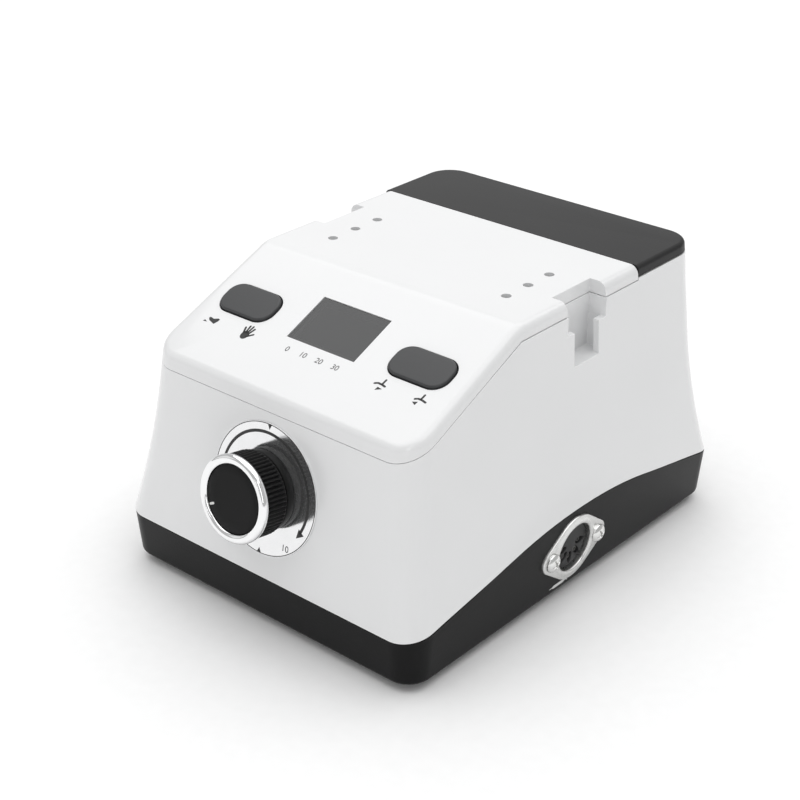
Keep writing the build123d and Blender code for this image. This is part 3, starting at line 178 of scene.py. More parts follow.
class Finish:
    """One material: its Principled shader, and wires that start at the piece's own coordinates."""

    def __init__(self, name, **shine):
        self.material = bpy.data.materials.new(name)
        self.material.use_nodes = True
        self.tree = self.material.node_tree
        self.shader = self.tree.nodes["Principled BSDF"]
        coordinates = self.tree.nodes.new("ShaderNodeTexCoord")
        self.place = Wire(self.tree, coordinates.outputs["Object"])
        self.set(**shine)

    def set(self, **values):
        """Gives shader sockets a value or a wire; an underscore stands for a blank in a name."""
        for key, value in values.items():
            socket = self.shader.inputs[key.replace("_", " ")]
            if isinstance(value, Wire):
                self.tree.links.new(value.socket, socket)
            else:
                socket.default_value = value
        return self

    def mottle(self, size, detail=2.0, roughness=0.5):
        """Noise from 0 to 1 whose spots are about the given size in metres."""
        return self.place.node(
            "ShaderNodeTexNoise",
            {"noise_dimensions": "3D"},
            {"Vector": self.place, "Scale": 1.0 / size, "Detail": detail, "Roughness": roughness},
        )

    def tint(self, amount, first, second):
        """Colour that goes from first to second as amount goes from 0 to 1."""
        first, second = [
            shade if isinstance(shade, Wire) else (*shade, 1.0) for shade in (first, second)
        ]
        return self.place.node(
            "ShaderNodeMix", {"data_type": "RGBA"}, {0: amount, 6: first, 7: second}, output=2
        )

    def edges(self, reach):
        """1 along the piece's edges, falling to 0 at the given distance from them."""
        rounded = self.place.node("ShaderNodeBevel", {"samples": 4}, {"Radius": reach})
        facing = self.place.node("ShaderNodeNewGeometry", {}, {}, output=1)
        match = self.place.node(
            "ShaderNodeVectorMath", {"operation": "DOT_PRODUCT"}, {0: rounded, 1: facing}, output=1
        )
        return ((1.0 - match) * 4.0).math("MINIMUM", 1.0)

    def ridges(self, along, pitch):
        """A wave from 0 to 1 that repeats with the pitch, in metres, along a coordinate."""
        return 0.5 + 0.5 * (along * (2 * pi / pitch)).math("SINE")

    def dent(self, height, depth, strength=1.0):
        """Bump from a height wire, with its full depth in metres."""
        bump = self.place.node(
            "ShaderNodeBump", {}, {"Height": height, "Distance": depth, "Strength": strength}
        )
        return self.set(Normal=bump)

    def axes(self):
        """The three Object coordinates as wires."""
        parts = self.place.node("ShaderNodeSeparateXYZ", {}, {"Vector": self.place})
        return [Wire(self.tree, socket) for socket in parts.socket.node.outputs]


floor_card = Finish("floor_card", Roughness=0.95)
card_grain = floor_card.mottle(0.004, 4.0)
floor_card.set(Base_Color=floor_card.tint(card_grain, (0.90, 0.90, 0.90), (0.94, 0.94, 0.94)))
floor_card.dent(card_grain, 0.00004)
floor_mesh = bpy.data.meshes.new("floor")
floor_mesh.from_pydata([(-3, -3, 0), (3, -3, 0), (3, 3, 0), (-3, 3, 0)], [], [(0, 1, 2, 3)])
floor_mesh.materials.append(floor_card.material)
floor = bpy.data.objects.new("floor", floor_mesh)
bpy.context.scene.collection.objects.link(floor)


# ------------------------------------------------------------------ base tray
# Black ABS moulding with leaning walls and an arched upper edge. It has a fine even sheen with the
# slight flow marks of a large flat part, and its outer edges are softly broken by the mould.
def pressed(name, finish, edge=0.0002, angle=30.0, segments=2):
    """A merged copy of a CAD node with smooth faces and softly broken edges, in its finish."""
    skin = bpy.data.meshes.new(name + "_skin")
    form = bmesh.new()
    form.from_mesh(nodes[name].data)
    bmesh.ops.remove_doubles(form, verts=form.verts, dist=0.000002)
    bmesh.ops.dissolve_limit(
        form, angle_limit=radians(0.4), verts=form.verts, edges=form.edges, delimit={"NORMAL"}
    )
    for face in form.faces:
        face.smooth = True
    for bend in form.edges:
        bend.smooth = bend.is_manifold and bend.calc_face_angle(0.0) < radians(angle)
    form.to_mesh(skin)
    form.free()
    skin.materials.clear()
    skin.materials.append(finish.material)
    piece = bpy.data.objects.new(name + "_skin", skin)
    bpy.context.scene.collection.objects.link(piece)
    if edge:
        bevel = piece.modifiers.new("broken_edges", "BEVEL")
        bevel.width = edge
        bevel.segments = segments
        bevel.limit_method = "ANGLE"
        bevel.angle_limit = radians(angle)
        bevel.harden_normals = True
        bevel.use_clamp_overlap = True
    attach(piece, homes[name])
    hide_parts(name)
    return piece


def moulded(name, dark, light, roughness, grain_size, **shine):
    """A moulded plastic: flow marks a few centimetres long, a fine grain of the given size, and
    edges that handling has rubbed a little lighter and smoother."""
    plastic = Finish(name, **shine)
    flow = plastic.mottle(0.03, 3.0)
    grain = plastic.mottle(grain_size, 2.0)
    rubbed = plastic.edges(0.0005)
    skin = plastic.tint(flow, dark, light)
    worn = tuple(0.04 + 0.9 * shade for shade in light)
    plastic.set(
        Base_Color=plastic.tint(0.35 * rubbed, skin, worn),
        Roughness=roughness - 0.06 * rubbed + 0.08 * flow + 0.05 * grain,
    )
    return plastic.dent(grain, 0.03 * grain_size)


tray_plastic = moulded(
    "tray_plastic", (0.0035, 0.0035, 0.0038), (0.0060, 0.0060, 0.0063), 0.30, 0.0007,
    Specular_IOR_Level=0.13,
)
pressed("base_tray", tray_plastic, 0.0003)

# ------------------------------------------------------------------ body shell
# White gloss ABS, moulded in one piece with the pockets behind the cradle slots. It stands on the
# tray's arched edge, and screws from below hold the two together.
shell_plastic = Finish("shell_plastic", Roughness=0.28, Coat_Roughness=0.08, Coat_Weight=0.6)
shell_flow = shell_plastic.mottle(0.03, 2.0)
shell_orange_peel = shell_plastic.mottle(0.0035, 2.0)
shell_skin = shell_plastic.tint(shell_flow, (0.75, 0.755, 0.76), (0.78, 0.783, 0.787))
# Painted highlight: the shell's and top cover's rounded edges are tinted whiter, standing in for the gloss
# highlight along them.
shell_rim_highlight = 0.7 * shell_plastic.edges(0.0005)
shell_plastic.set(Base_Color=shell_plastic.tint(shell_rim_highlight, shell_skin, (0.88, 0.882, 0.885)))
shell_plastic.dent(shell_orange_peel, 0.00001)
pressed("body_shell", shell_plastic, 0.00035, segments=3)

# ------------------------------------------------------------------ top cover
# The same white ABS, moulded as one lid with the sloping panel. Screws from inside the shell hold
# it down; its rim is rounded, and the bit holes have no rims of their own.
pressed("top_cover", shell_plastic, 0.0003, segments=3)

# ------------------------------------------------------------------ rear cover
# Black ABS lid over the rear of the case, moulded with a fine satin grain that picks up grey from
# the room. It lies against the top cover's back edge with a narrow joint.
lid_plastic = Finish("lid_plastic", Specular_IOR_Level=0.26)
lid_grain = lid_plastic.mottle(0.0006, 2.0)
lid_flow = lid_plastic.mottle(0.04, 2.0)
lid_plastic.set(
    Base_Color=lid_plastic.tint(lid_flow, (0.012, 0.012, 0.0125), (0.016, 0.016, 0.0165)),
    Roughness=0.42 + 0.08 * lid_flow,
)
lid_plastic.dent(lid_grain, 0.00002)
pressed("rear_cover", lid_plastic, 0.0002)


# ------------------------------------------------------------------ display
# Tinted acrylic window flush in the slope. Under it the dark module shows three unlit digits of
# seven bars each, a shade lighter than the face round them.
class Seat:
    """A face that pieces sit on: x runs to its right, y up it and z out of it, in metres."""

    def __init__(self, origin, right, out):
        self.out = Vector(out).normalized()
        self.right = Vector(right).normalized()
        self.up = self.out.cross(self.right)
        self.origin = Vector(origin)

    def at(self, x, y, z):
        """Places in the box for local x, y and z, which may be arrays of one shape."""
        local = np.stack(np.broadcast_arrays(x, y, z), axis=-1)
        turn = np.array([self.right, self.up, self.out])
        return local @ turn + np.array(self.origin)

    def shifted(self, x, y, z):
        return Seat(Vector(self.at(x, y, z)), self.right, self.out)


def piece_from(name, points, faces, finish, body, smooth=40.0):
    """A piece from places and faces: doubles merged, faces outwards, smooth up to an angle."""
    shape = bpy.data.meshes.new(name)
    shape.from_pydata(np.asarray(points).reshape(-1, 3).tolist(), [], faces)
    form = bmesh.new()
    form.from_mesh(shape)
    bmesh.ops.remove_doubles(form, verts=form.verts, dist=0.0000005)
    bmesh.ops.recalc_face_normals(form, faces=form.faces)
    for face in form.faces:
        face.smooth = smooth > 0
    for bend in form.edges:
        bend.smooth = bend.is_manifold and bend.calc_face_angle(0.0) < radians(smooth)
    form.to_mesh(shape)
    form.free()
    shape.materials.append(finish.material)
    piece = bpy.data.objects.new(name, shape)
    bpy.context.scene.collection.objects.link(piece)
    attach(piece, body)
    return piece


def print_on(name, seat, outlines, height, finish, body):
    """A thin print: each outline, a list of (x, y) in millimetres, is one flat face on the seat."""
    points, faces = [], []
    for outline in outlines:
        local = np.asarray(outline, float) * 0.001
        faces.append(list(range(len(points), len(points) + len(local))))
        points.extend(seat.at(local[:, 0], local[:, 1], height).tolist())
    shape = bpy.data.meshes.new(name)
    shape.from_pydata(points, [], faces)
    shape.materials.append(finish.material)
    piece = bpy.data.objects.new(name, shape)
    bpy.context.scene.collection.objects.link(piece)
    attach(piece, body)
    return piece


key_joints = [joints["mode_key_rock"], joints["direction_key_rock"]]
slope_up = Vector(key_joints[0]["axis"])
slope_out = Vector((1, 0, 0)).cross(slope_up)
key_middle = sum((Vector(joint["pos_m"]) for joint in key_joints), Vector()) / 2
slope = Seat(key_middle + slope_up * 0.0024 + slope_out * 0.004, (1, 0, 0), slope_out)

window_acrylic = Finish("window_acrylic", Alpha=0.9, Coat_Weight=0.2)
window_haze = window_acrylic.mottle(0.006, 3.0)
window_acrylic.set(
    Base_Color=window_acrylic.tint(window_haze, (0.026, 0.027, 0.028), (0.036, 0.037, 0.038)),
    Roughness=0.10 + 0.12 * window_haze,
)
pressed("display_window", window_acrylic, 0.0001)
module_face = Finish("module_face")
module_grain = module_face.mottle(0.0004)
module_face.set(
    Base_Color=module_face.tint(module_grain, (0.02, 0.02, 0.02), (0.035, 0.035, 0.037)),
    Roughness=0.5 + 0.2 * module_grain,
)
pressed("display_module", module_face, 0.0)

bar_face = Finish("bar_face")
bar_frost = bar_face.mottle(0.0003)
bar_face.set(
    Base_Color=bar_face.tint(bar_frost, (0.16, 0.16, 0.16), (0.20, 0.20, 0.20)),
    Roughness=0.4 + 0.2 * bar_frost,
)
bar_half = 0.45  # millimetres, as all sizes of prints are
digit_half_width = 2.2
digit_half_height = 3.9
bars = []
for middle in (-6.6, 0.0, 6.6):
    ends = [
        ((-1, 1), (1, 1)),
        ((-1, 0), (1, 0)),
        ((-1, -1), (1, -1)),
        ((-1, 0), (-1, 1)),
        ((1, 0), (1, 1)),
        ((-1, -1), (-1, 0)),
        ((1, -1), (1, 0)),
    ]
    for first, last in ends:
        a = np.array(first) * (digit_half_width, digit_half_height)
        b = np.array(last) * (digit_half_width, digit_half_height)
        along = (b - a) / np.linalg.norm(b - a)
        across = np.array((-along[1], along[0])) * bar_half
        a, b = a + along * 0.15, b - along * 0.15
        hexagon = [a, a + across + along * bar_half, b + across - along * bar_half]
        hexagon += [b, b - across - along * bar_half, a - across + along * bar_half]
        lean = np.array([[1, 0], [0.12, 1]])
        bars.append([tuple(np.array(p) @ lean + (middle, 0)) for p in hexagon])
print_on("digit_bars", slope, bars, -0.00268, bar_face, "housing")

# ------------------------------------------------------------------ panel prints
# One-colour pad printing on the slope: a foot on its pedal and a hand under the mode key, the two
# turning directions under the other key, and a plain row of numbers under the window.
def stroke(points, width):
    """Outline of a line with round ends, in millimetres: the line moved to both sides by half its
    width, with a half circle round each end."""
    path = np.asarray(points, float)
    along = np.gradient(path, axis=0)
    along /= np.linalg.norm(along, axis=1, keepdims=True)
    aside = np.stack([-along[:, 1], along[:, 0]], axis=1)
    swing = np.linspace(pi / 2, -pi / 2, 7)[1:-1, None]
    end = path[-1] + width / 2 * (np.cos(swing) * along[-1] + np.sin(swing) * aside[-1])
    start = path[0] - width / 2 * (np.cos(swing) * along[0] + np.sin(swing) * aside[0])
    return np.concatenate([path + aside * width / 2, end, (path - aside * width / 2)[::-1], start])


def arc(x, y, across, rise, first, last, count=24):
    """Places on an ellipse about (x, y), from the first to the last angle in degrees."""
    angle = np.radians(np.linspace(first, last, count))
    return np.stack([x + across * np.cos(angle), y + rise * np.sin(angle)], axis=1)


def arrow_head(tip, way, length, width):
    """Triangle with its tip at a place, pointing in the direction of way, in degrees."""
    ahead = np.array([cos(radians(way)), sin(radians(way))])
    aside = np.array([-ahead[1], ahead[0]]) * width / 2
    foot = np.array(tip) - ahead * length
    return np.array([tip, foot + aside, foot - aside])


def figures(text, x, y, size):
    """Faces of plain figures in the stock font, in millimetres, with their middle at (x, y)."""
    letters = bpy.data.curves.new("figures", "FONT")
    letters.body = text
    letters.size = size
    letters.align_x = "CENTER"
    letters.align_y = "CENTER"
    holder = bpy.data.objects.new("figures", letters)
    flat = bpy.data.meshes.new_from_object(holder)
    places = np.empty(3 * len(flat.vertices))
    flat.vertices.foreach_get("co", places)
    places = places.reshape(-1, 3)[:, :2] + (x, y)
    faces = [places[list(face.vertices)] for face in flat.polygons]
    bpy.data.objects.remove(holder)
    return faces


black_ink = Finish("black_ink")
ink_cover = black_ink.mottle(0.00025, 3.0)
black_ink.set(
    Base_Color=black_ink.tint(ink_cover, (0.018, 0.018, 0.018), (0.040, 0.040, 0.040)),
    Roughness=0.45 + 0.25 * ink_cover,
)
black_ink.dent(ink_cover, 0.000004)
foot = [(-1.5, 0.0), (-1.2, 0.5), (0.35, 0.25), (1.6, 0.9), (2.4, 0.7), (2.25, -0.1), (1.7, -1.45)]
foot += [(0.8, -1.2), (-0.7, -0.75)]
pedal = [(-2.5, -1.7), (-2.2, -1.0), (-0.9, -1.5)]
print_foot = [np.array(shape) + (-39.1, -12.3) for shape in (foot, pedal)]
palm = arc(0.0, -0.6, 1.05, 1.25, 0, 345)
fingers = [
    [(-0.75, -0.2), (-1.35, 1.35)],
    [(-0.3, 0.1), (-0.5, 2.0)],
    [(0.2, 0.1), (0.35, 2.1)],
    [(0.65, -0.1), (1.15, 1.6)],
    [(0.7, -0.9), (1.95, 0.2)],
]
hand = [palm] + [stroke(finger, 0.5) for finger in fingers]
print_hand = [np.array(shape) * 1.3 + (-25.1, -12.5) for shape in hand]
bar = stroke([(0.6, 2.1), (0.55, 1.2), (0.5, 0.4)], 0.65)
wave = stroke([(-1.8, -0.1), (-0.9, 0.35), (0.5, 0.3), (1.75, 0.0)], 0.65)
tip_right = [(-0.3, -2.1), (-0.1, -0.8), (1.6, -1.1)]
tip_left = [(-1.9, -1.2), (-0.3, -0.6), (-0.5, -1.95)]
turn_marks = ((25.2, (bar, wave, tip_right)), (39.3, (bar - (0.6, 0.0), wave, tip_left)))
print_turns = [
    np.array(shape) + (middle, -12.3) for middle, shapes in turn_marks for shape in shapes
]
scale_row = [face for x in (-9, -3, 3, 9) for face in figures(str(15 + 5 * x // 3), x, -12.5, 2.6)]
print_on("foot_mark", slope, print_foot, 0.00002, black_ink, "housing")
print_on("hand_mark", slope, print_hand, 0.00002, black_ink, "housing")
print_on("turning_marks", slope, print_turns, 0.00002, black_ink, "housing")
print_on("scale_numbers", slope, scale_row, 0.00002, black_ink, "housing")

# ------------------------------------------------------------------ keys
# Dark grey satin ABS rockers with a rounded rim. Their grain runs all over, and their edges are
# rubbed a little lighter and smoother.
key_plastic = moulded("key_plastic", (0.034, 0.035, 0.037), (0.044, 0.045, 0.047), 0.36, 0.0005)
for name in ("mode_key", "direction_key"):
    pressed(name, key_plastic, 0.00012, segments=3)

# ------------------------------------------------------------------ dial plate
# Mirror-finished plastic disc with a thin black rim line, V marks at top and bottom, and an arrow
# that runs clockwise from a plain 0 to a plain 10.
mirror_film = Finish("mirror_film", Metallic=0.93)
film_haze = mirror_film.mottle(0.004, 4.0, 0.6)
film_ripple = mirror_film.mottle(0.009, 2.0)
mirror_film.set(
    Base_Color=mirror_film.tint(film_haze, (0.80, 0.805, 0.81), (0.90, 0.90, 0.905)),
    Roughness=0.09 + 0.04 * film_haze,
)
mirror_film.dent(film_ripple, 0.000004)
pressed("dial_plate", mirror_film, 0.0001)
knob_joint = joints["knob_turn"]
dial = Seat(knob_joint["pos_m"], (1, 0, 0), -Vector(knob_joint["axis"]))


def wrapped(turns, stops):
    """Quads of a closed grid: its last column of places meets its first one again."""
    column = np.arange(turns)[:, None] * stops
    place = np.arange(stops - 1)[None]
    after = (np.arange(turns)[:, None] + 1) % turns * stops
    corners = np.broadcast_arrays(
        column + place, after + place, after + place + 1, column + place + 1
    )
    return np.stack(corners, axis=-1).reshape(-1, 4).tolist()


def turned(name, seat, profile, turns, finish, body, smooth=40.0, cut=None):
    """A profile carried round the seat's normal: each (radius, height) in millimetres becomes a
    ring at radius times cosine and sine of the angle. The cut, a function of angle and height, is
    taken off the radius."""
    stops = np.asarray(profile, float)
    angle = np.linspace(0, 2 * pi, turns, endpoint=False)[:, None]
    radius = stops[None, :, 0] - (cut(angle, stops[None, :, 1]) if cut else 0.0)
    height = stops[None, :, 1] * 0.001
    places = seat.at(radius * np.cos(angle) * 0.001, radius * np.sin(angle) * 0.001, height)
    return piece_from(name, places, wrapped(turns, len(stops)), finish, body, smooth)


rim_line = [(19.05, 0.49), (19.05, 0.515), (19.30, 0.515), (19.30, 0.49), (19.05, 0.49)]
turned("dial_rim_line", dial, rim_line, 160, black_ink, "housing")
arrow_arc = arc(0, 0, 16.6, 16.6, 172, -28, 90)
dial_marks = [
    stroke(arrow_arc, 0.9),
    arrow_head(arc(0, 0, 16.6, 16.6, -37, -38, 2)[0], -127, 2.9, 2.5),
    [(-0.75, 19.1), (0.75, 19.1), (0.0, 17.6)],
    [(-0.75, -19.1), (0.75, -19.1), (0.0, -17.6)],
]
dial_marks += figures("0", -16.3, -3.9, 2.8)
dial_marks += figures("10", 9.6, -14.6, 2.8)
print_on("dial_marks", dial, dial_marks, 0.000515, black_ink, "housing")

# ------------------------------------------------------------------ potentiometer
# Pressed steel can riveted to its base behind the wall, a turned brass bushing, and a plated washer
# and nut that are only seen through the gap behind the knob.
def plated(name, dark, light, roughness):
    """A plated metal: faint clouds in its colour, fine marks of the tool, and brighter edges."""
    metal = Finish(name, Metallic=1.0)
    cloud = metal.mottle(0.002, 3.0)
    marks = metal.mottle(0.00015, 3.0)
    rubbed = metal.edges(0.0002)
    bright = tuple(min(1.12 * shade, 0.95) for shade in light)
    metal.set(
        Base_Color=metal.tint(0.6 * rubbed, metal.tint(cloud, dark, light), bright),
        Roughness=roughness + 0.10 * cloud + 0.06 * marks - 0.05 * rubbed,
    )
    return metal.dent(marks, 0.000004)


turned_brass = plated("turned_brass", (0.62, 0.45, 0.19), (0.74, 0.56, 0.27), 0.28)
zinc_steel = plated("zinc_steel", (0.52, 0.52, 0.50), (0.66, 0.66, 0.64), 0.30)
can_steel = plated("can_steel", (0.46, 0.46, 0.44), (0.58, 0.58, 0.56), 0.36)
pressed("pot_body", can_steel, 0.0002)
pressed("pot_bushing", turned_brass, 0.0001)
pressed("pot_shaft", turned_brass, 0.0001)
pressed("pot_washer", zinc_steel, 0.00008)
pressed("pot_nut", zinc_steel, 0.0002)

# ------------------------------------------------------------------ speed knob
# Fine matt ABS in one piece: a smooth skirt and neck, and a barrel with sixty rounded grooves. A broad
# mottle of dust varies its tone and roughness, and a painted glint lightens its edges and ribs.
knob_matt = Finish("knob_matt", Specular_IOR_Level=0.18)
knob_grain = knob_matt.mottle(0.0003, 2.0)
knob_dust = knob_matt.mottle(0.005, 4.0)
# Painted highlight: the colour turns lighter along the knob's edges and rib crests as a glint.
knob_rib_glint = knob_matt.edges(0.0003)
knob_skin = knob_matt.tint(knob_dust, (0.004, 0.004, 0.0042), (0.007, 0.007, 0.0072))
knob_matt.set(
    Base_Color=knob_matt.tint(0.6 * knob_rib_glint, knob_skin, (0.035, 0.035, 0.035)),
    Roughness=0.34 + 0.10 * knob_dust + 0.08 * knob_grain,
)
knob_matt.dent(knob_grain, 0.00001)
knob_profile = [(0, 10.4), (3.05, 10.4), (3.05, 6.2), (7.4, 6.2), (7.4, 0.65), (11.3, 0.65)]
knob_profile += [(11.52, 0.76), (11.6, 1.0), (11.6, 2.0), (11.6, 2.85), (11.52, 3.08), (11.3, 3.18)]
knob_profile += [(10.4, 3.2), (10.2, 3.3), (10.15, 3.6), (10.2, 3.9), (10.4, 4.0), (11.7, 4.02)]
knob_profile += [(12.0, 4.1), (12.15, 4.28), (12.2, 4.5), (12.2, 4.8), (12.2, 5.4)]
knob_profile += [(12.2, 6.5), (12.2, 8.0), (12.2, 9.5), (12.2, 10.4), (12.2, 10.8)]
knob_profile += [(12.2, 11.05), (12.1, 11.25), (11.9, 11.4), (0, 11.4)]


def knob_grooves(angle, height):
    """Depth of the sixty grooves: a rounded wave round the barrel that fades out at its ends."""
    wave = (0.5 + 0.5 * np.cos(60 * angle)) ** 1.3
    ends = np.clip((height - 4.08) / 0.5, 0, 1) * np.clip((11.3 - height) / 0.4, 0, 1)
    return 0.6 * wave * ends


knob = turned(
    "knob_barrel", dial, knob_profile, 600, knob_matt, "knob", 50.0, knob_grooves
)
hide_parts("speed_knob")

# ------------------------------------------------------------------ knob ring and cap
# Chrome-plated ring with a rounded outer side, pressed round a flat matt cap. A white line on the
# cap's edge shows where the knob stands.
knob_chrome = Finish("knob_chrome", Metallic=1.0)
chrome_haze = knob_chrome.mottle(0.003, 4.0)
knob_chrome.set(
    Base_Color=knob_chrome.tint(chrome_haze, (0.86, 0.865, 0.87), (0.92, 0.92, 0.925)),
    Roughness=0.03 + 0.05 * chrome_haze,
)
knob_chrome.dent(knob_chrome.mottle(0.0015, 2.0), 0.0000015)
swing = np.linspace(0, 1, 14)
outer_side = np.stack(
    [11.2 + 1.45 * np.cos(swing * 1.45 - 0.12), 12.05 + 1.35 * np.sin(swing * 1.6 - 0.12)], axis=1
)
ring_profile = [(9.95, 11.4), (12.2, 11.4), (12.45, 11.5), (12.6, 11.7)]
ring_profile += [tuple(stop) for stop in outer_side]
ring_profile += [(11.0, 13.38), (10.5, 13.25), (10.1, 13.0), (9.97, 12.75), (9.95, 12.4)]
ring_profile += [(9.95, 11.4)]
ring = turned("knob_rim", dial, ring_profile, 160, knob_chrome, "knob", 60.0)
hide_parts("knob_ring")

cap_matt = Finish("cap_matt", Specular_IOR_Level=0.13)
cap_grain = cap_matt.mottle(0.0003, 3.0)
cap_wipe = cap_matt.mottle(0.006, 4.0)
cap_matt.set(
    Base_Color=cap_matt.tint(cap_wipe, (0.0055, 0.0055, 0.0058), (0.0085, 0.0085, 0.0088)),
    Roughness=0.38 + 0.12 * cap_wipe + 0.06 * cap_grain,
)
cap_matt.dent(cap_grain, 0.00001)
cap_profile = [(0, 11.4), (9.8, 11.4), (9.85, 11.5), (9.85, 12.35), (9.78, 12.52), (9.6, 12.6)]
cap_profile += [(7.0, 12.56), (3.5, 12.53), (0, 12.52)]
cap = turned("knob_face", dial, cap_profile, 128, cap_matt, "knob", 50.0)
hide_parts("knob_cap")
white_ink = Finish("white_ink")
white_cover = white_ink.mottle(0.00025, 3.0)
white_ink.set(
    Base_Color=white_ink.tint(white_cover, (0.62, 0.62, 0.61), (0.80, 0.80, 0.79)),
    Roughness=0.45 + 0.25 * white_cover,
)
pointer_way = np.array([cos(radians(207)), sin(radians(207))])
pointer = [stroke([pointer_way * 8.1, pointer_way * 8.7, pointer_way * 9.3], 0.7)]
print_on("knob_pointer", dial, pointer, 0.01261, white_ink, "knob")

# ------------------------------------------------------------------ motor socket
# Five-pole chassis socket: a plated flange with a rolled rim, a black insulator with a petal-shaped
# hollow at each contact and a keyway on top, and two domed cross-head screws.
socket_mount = mounts["motor_socket"]
socket_out = Vector(socket_mount["axis"])
socket_right = Vector((0, 1, 0))
flange_rise = 1.3  # millimetres that the mount's place lies out from the tray's wall
socket = Seat(socket_mount["pos_m"], socket_right, socket_out).shifted(0, 0, -flange_rise * 0.001)


def flange_edge(angle):
    """Distance from the socket's middle to the edge of the flange: the main circle, a straight side
    that touches it and the ear's circle, and then the ear's own circle."""
    main, ear, reach = 10.4, 3.9, 11.0
    slant = np.arccos((main - ear) / reach)
    fold = np.abs((angle + pi / 2) % pi - pi / 2)
    ear_start = np.arctan2(ear * np.sin(slant), reach + ear * np.cos(slant))
    round_ear = reach * np.cos(fold) + np.sqrt(
        np.maximum(ear**2 - (reach * np.sin(fold)) ** 2, 0.0)
    )
    straight = main / np.cos(np.minimum(np.abs(fold - slant), 1.2))
    return np.where(fold > slant, main, np.where(fold > ear_start, straight, round_ear))


socket_nickel = plated("socket_nickel", (0.66, 0.66, 0.65), (0.80, 0.80, 0.79), 0.20)
edge_stops = np.array([(0, 0.0), (0, 0.75), (0.08, 0.87), (0.26, 0.93)])
rim_stops = np.array(
    [(9.75, 0.93), (9.45, 0.98), (9.15, 1.12), (8.85, 1.24), (8.5, 1.30), (8.15, 1.26)]
    + [(7.88, 1.12), (7.7, 0.9), (7.62, 0.6), (7.6, 0.2), (7.6, -9.7), (8.1, -9.7), (8.1, 0.0)]
)
turn_angle = np.linspace(0, 2 * pi, 240, endpoint=False)[:, None]
outline_radius = flange_edge(turn_angle) - edge_stops[None, :, 0]
rim_radius = 0 * turn_angle + rim_stops[None, :, 0]
plate_radius = np.concatenate([outline_radius, rim_radius], axis=1)
plate_radius = np.concatenate([plate_radius, plate_radius[:, :1]], axis=1)
plate_height = np.concatenate([edge_stops[:, 1], rim_stops[:, 1], edge_stops[:1, 1]])
flange_places = socket.at(
    plate_radius * np.cos(turn_angle) * 0.001,
    plate_radius * np.sin(turn_angle) * 0.001,
    plate_height[None] * 0.001,
)
flange = piece_from(
    "socket_plate",
    flange_places,
    wrapped(240, plate_radius.shape[1]),
    socket_nickel,
    "housing",
)
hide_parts("socket_flange")


def polar_relief(name, seat, radius, rings, turns, relief, back, finish, body):
    """A disc whose front height, in millimetres, is relief(x, y) on a grid of radius and angle. Its
    side goes straight down to the flat back."""
    angle = np.linspace(0, 2 * pi, turns, endpoint=False)[:, None]
    reach = radius * np.linspace(0, 1, rings)[None]
    x, y = reach * np.cos(angle), reach * np.sin(angle)
    z = relief(x, y)
    x = np.concatenate([x, x[:, -1:], 0 * x[:, :1]], axis=1)
    y = np.concatenate([y, y[:, -1:], 0 * y[:, :1]], axis=1)
    z = np.concatenate([z, back + 0 * z[:, :1], back + 0 * z[:, :1]], axis=1)
    places = seat.at(x * 0.001, y * 0.001, z * 0.001)
    return piece_from(name, places, wrapped(turns, rings + 2), finish, body, 55.0)


insulator_black = moulded(
    "insulator_black", (0.006, 0.006, 0.006), (0.010, 0.010, 0.010), 0.42, 0.0003
)
contact_angles = np.radians(180 + 45 * np.arange(5))


def insulator_relief(x, y):
    """Face at -0.5, sunk by 1.6 in five petals, each an ellipse along the ray of its contact, by 3
    in the keyway at the top, and by 0.35 along the rim."""
    depth = 0.35 * np.clip((np.hypot(x, y) - 6.9) / 0.2, 0, 1)
    for angle in contact_angles:
        along = x * np.cos(angle) + y * np.sin(angle) - 4.3
        across = y * np.cos(angle) - x * np.sin(angle)
        inside = 1 - np.hypot(along / 2.1, across / (0.95 - 0.16 * along))
        depth = np.maximum(depth, 1.6 * np.clip(inside * 5, 0, 1))
    keyway = np.clip((1.1 - np.abs(x)) * 6, 0, 1) * np.clip((y - 5.6) * 6, 0, 1)
    return -0.5 - np.maximum(depth, 3.0 * keyway)


insulator = polar_relief(
    "socket_disc",
    socket,
    7.5,
    46,
    240,
    insulator_relief,
    -9.5,
    insulator_black,
    "housing",
)
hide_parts("socket_insulator")
# Painted shade: the contacts' plated metal is coloured far darker than silver, standing for the shade deep in the
# insulator's hollows.
contact_metal_painted_shade = plated("contact_metal_painted_shade", (0.16, 0.155, 0.15), (0.24, 0.235, 0.225), 0.30)
pressed("socket_contacts", contact_metal_painted_shade, 0.0001)

screw_chrome = plated("screw_chrome", (0.72, 0.72, 0.71), (0.86, 0.86, 0.85), 0.12)


def cross_head(x, y):
    """Height of a domed screw head: the crown falls with the square of the distance, and a cross of
    two tapering slots, turned a little, is cut in its middle."""
    reach = np.hypot(x, y) / 2.85
    crown = 1.05 + 1.8 * np.sqrt(np.maximum(1 - (reach * 0.96) ** 2, 0.0))
    turn = radians(24)
    u, v = x * cos(turn) + y * sin(turn), y * cos(turn) - x * sin(turn)
    slots = []
    for along, across in ((u, v), (v, u)):
        width = 0.42 - 0.10 * np.abs(along)
        between_sides = np.clip((width - np.abs(across)) * 6, 0, 1)
        slots.append(between_sides * np.clip((1.75 - np.abs(along)) * 4, 0, 1))
    return crown - 0.95 * np.maximum(*slots) * (1 - 0.3 * np.hypot(x, y) / 1.75)


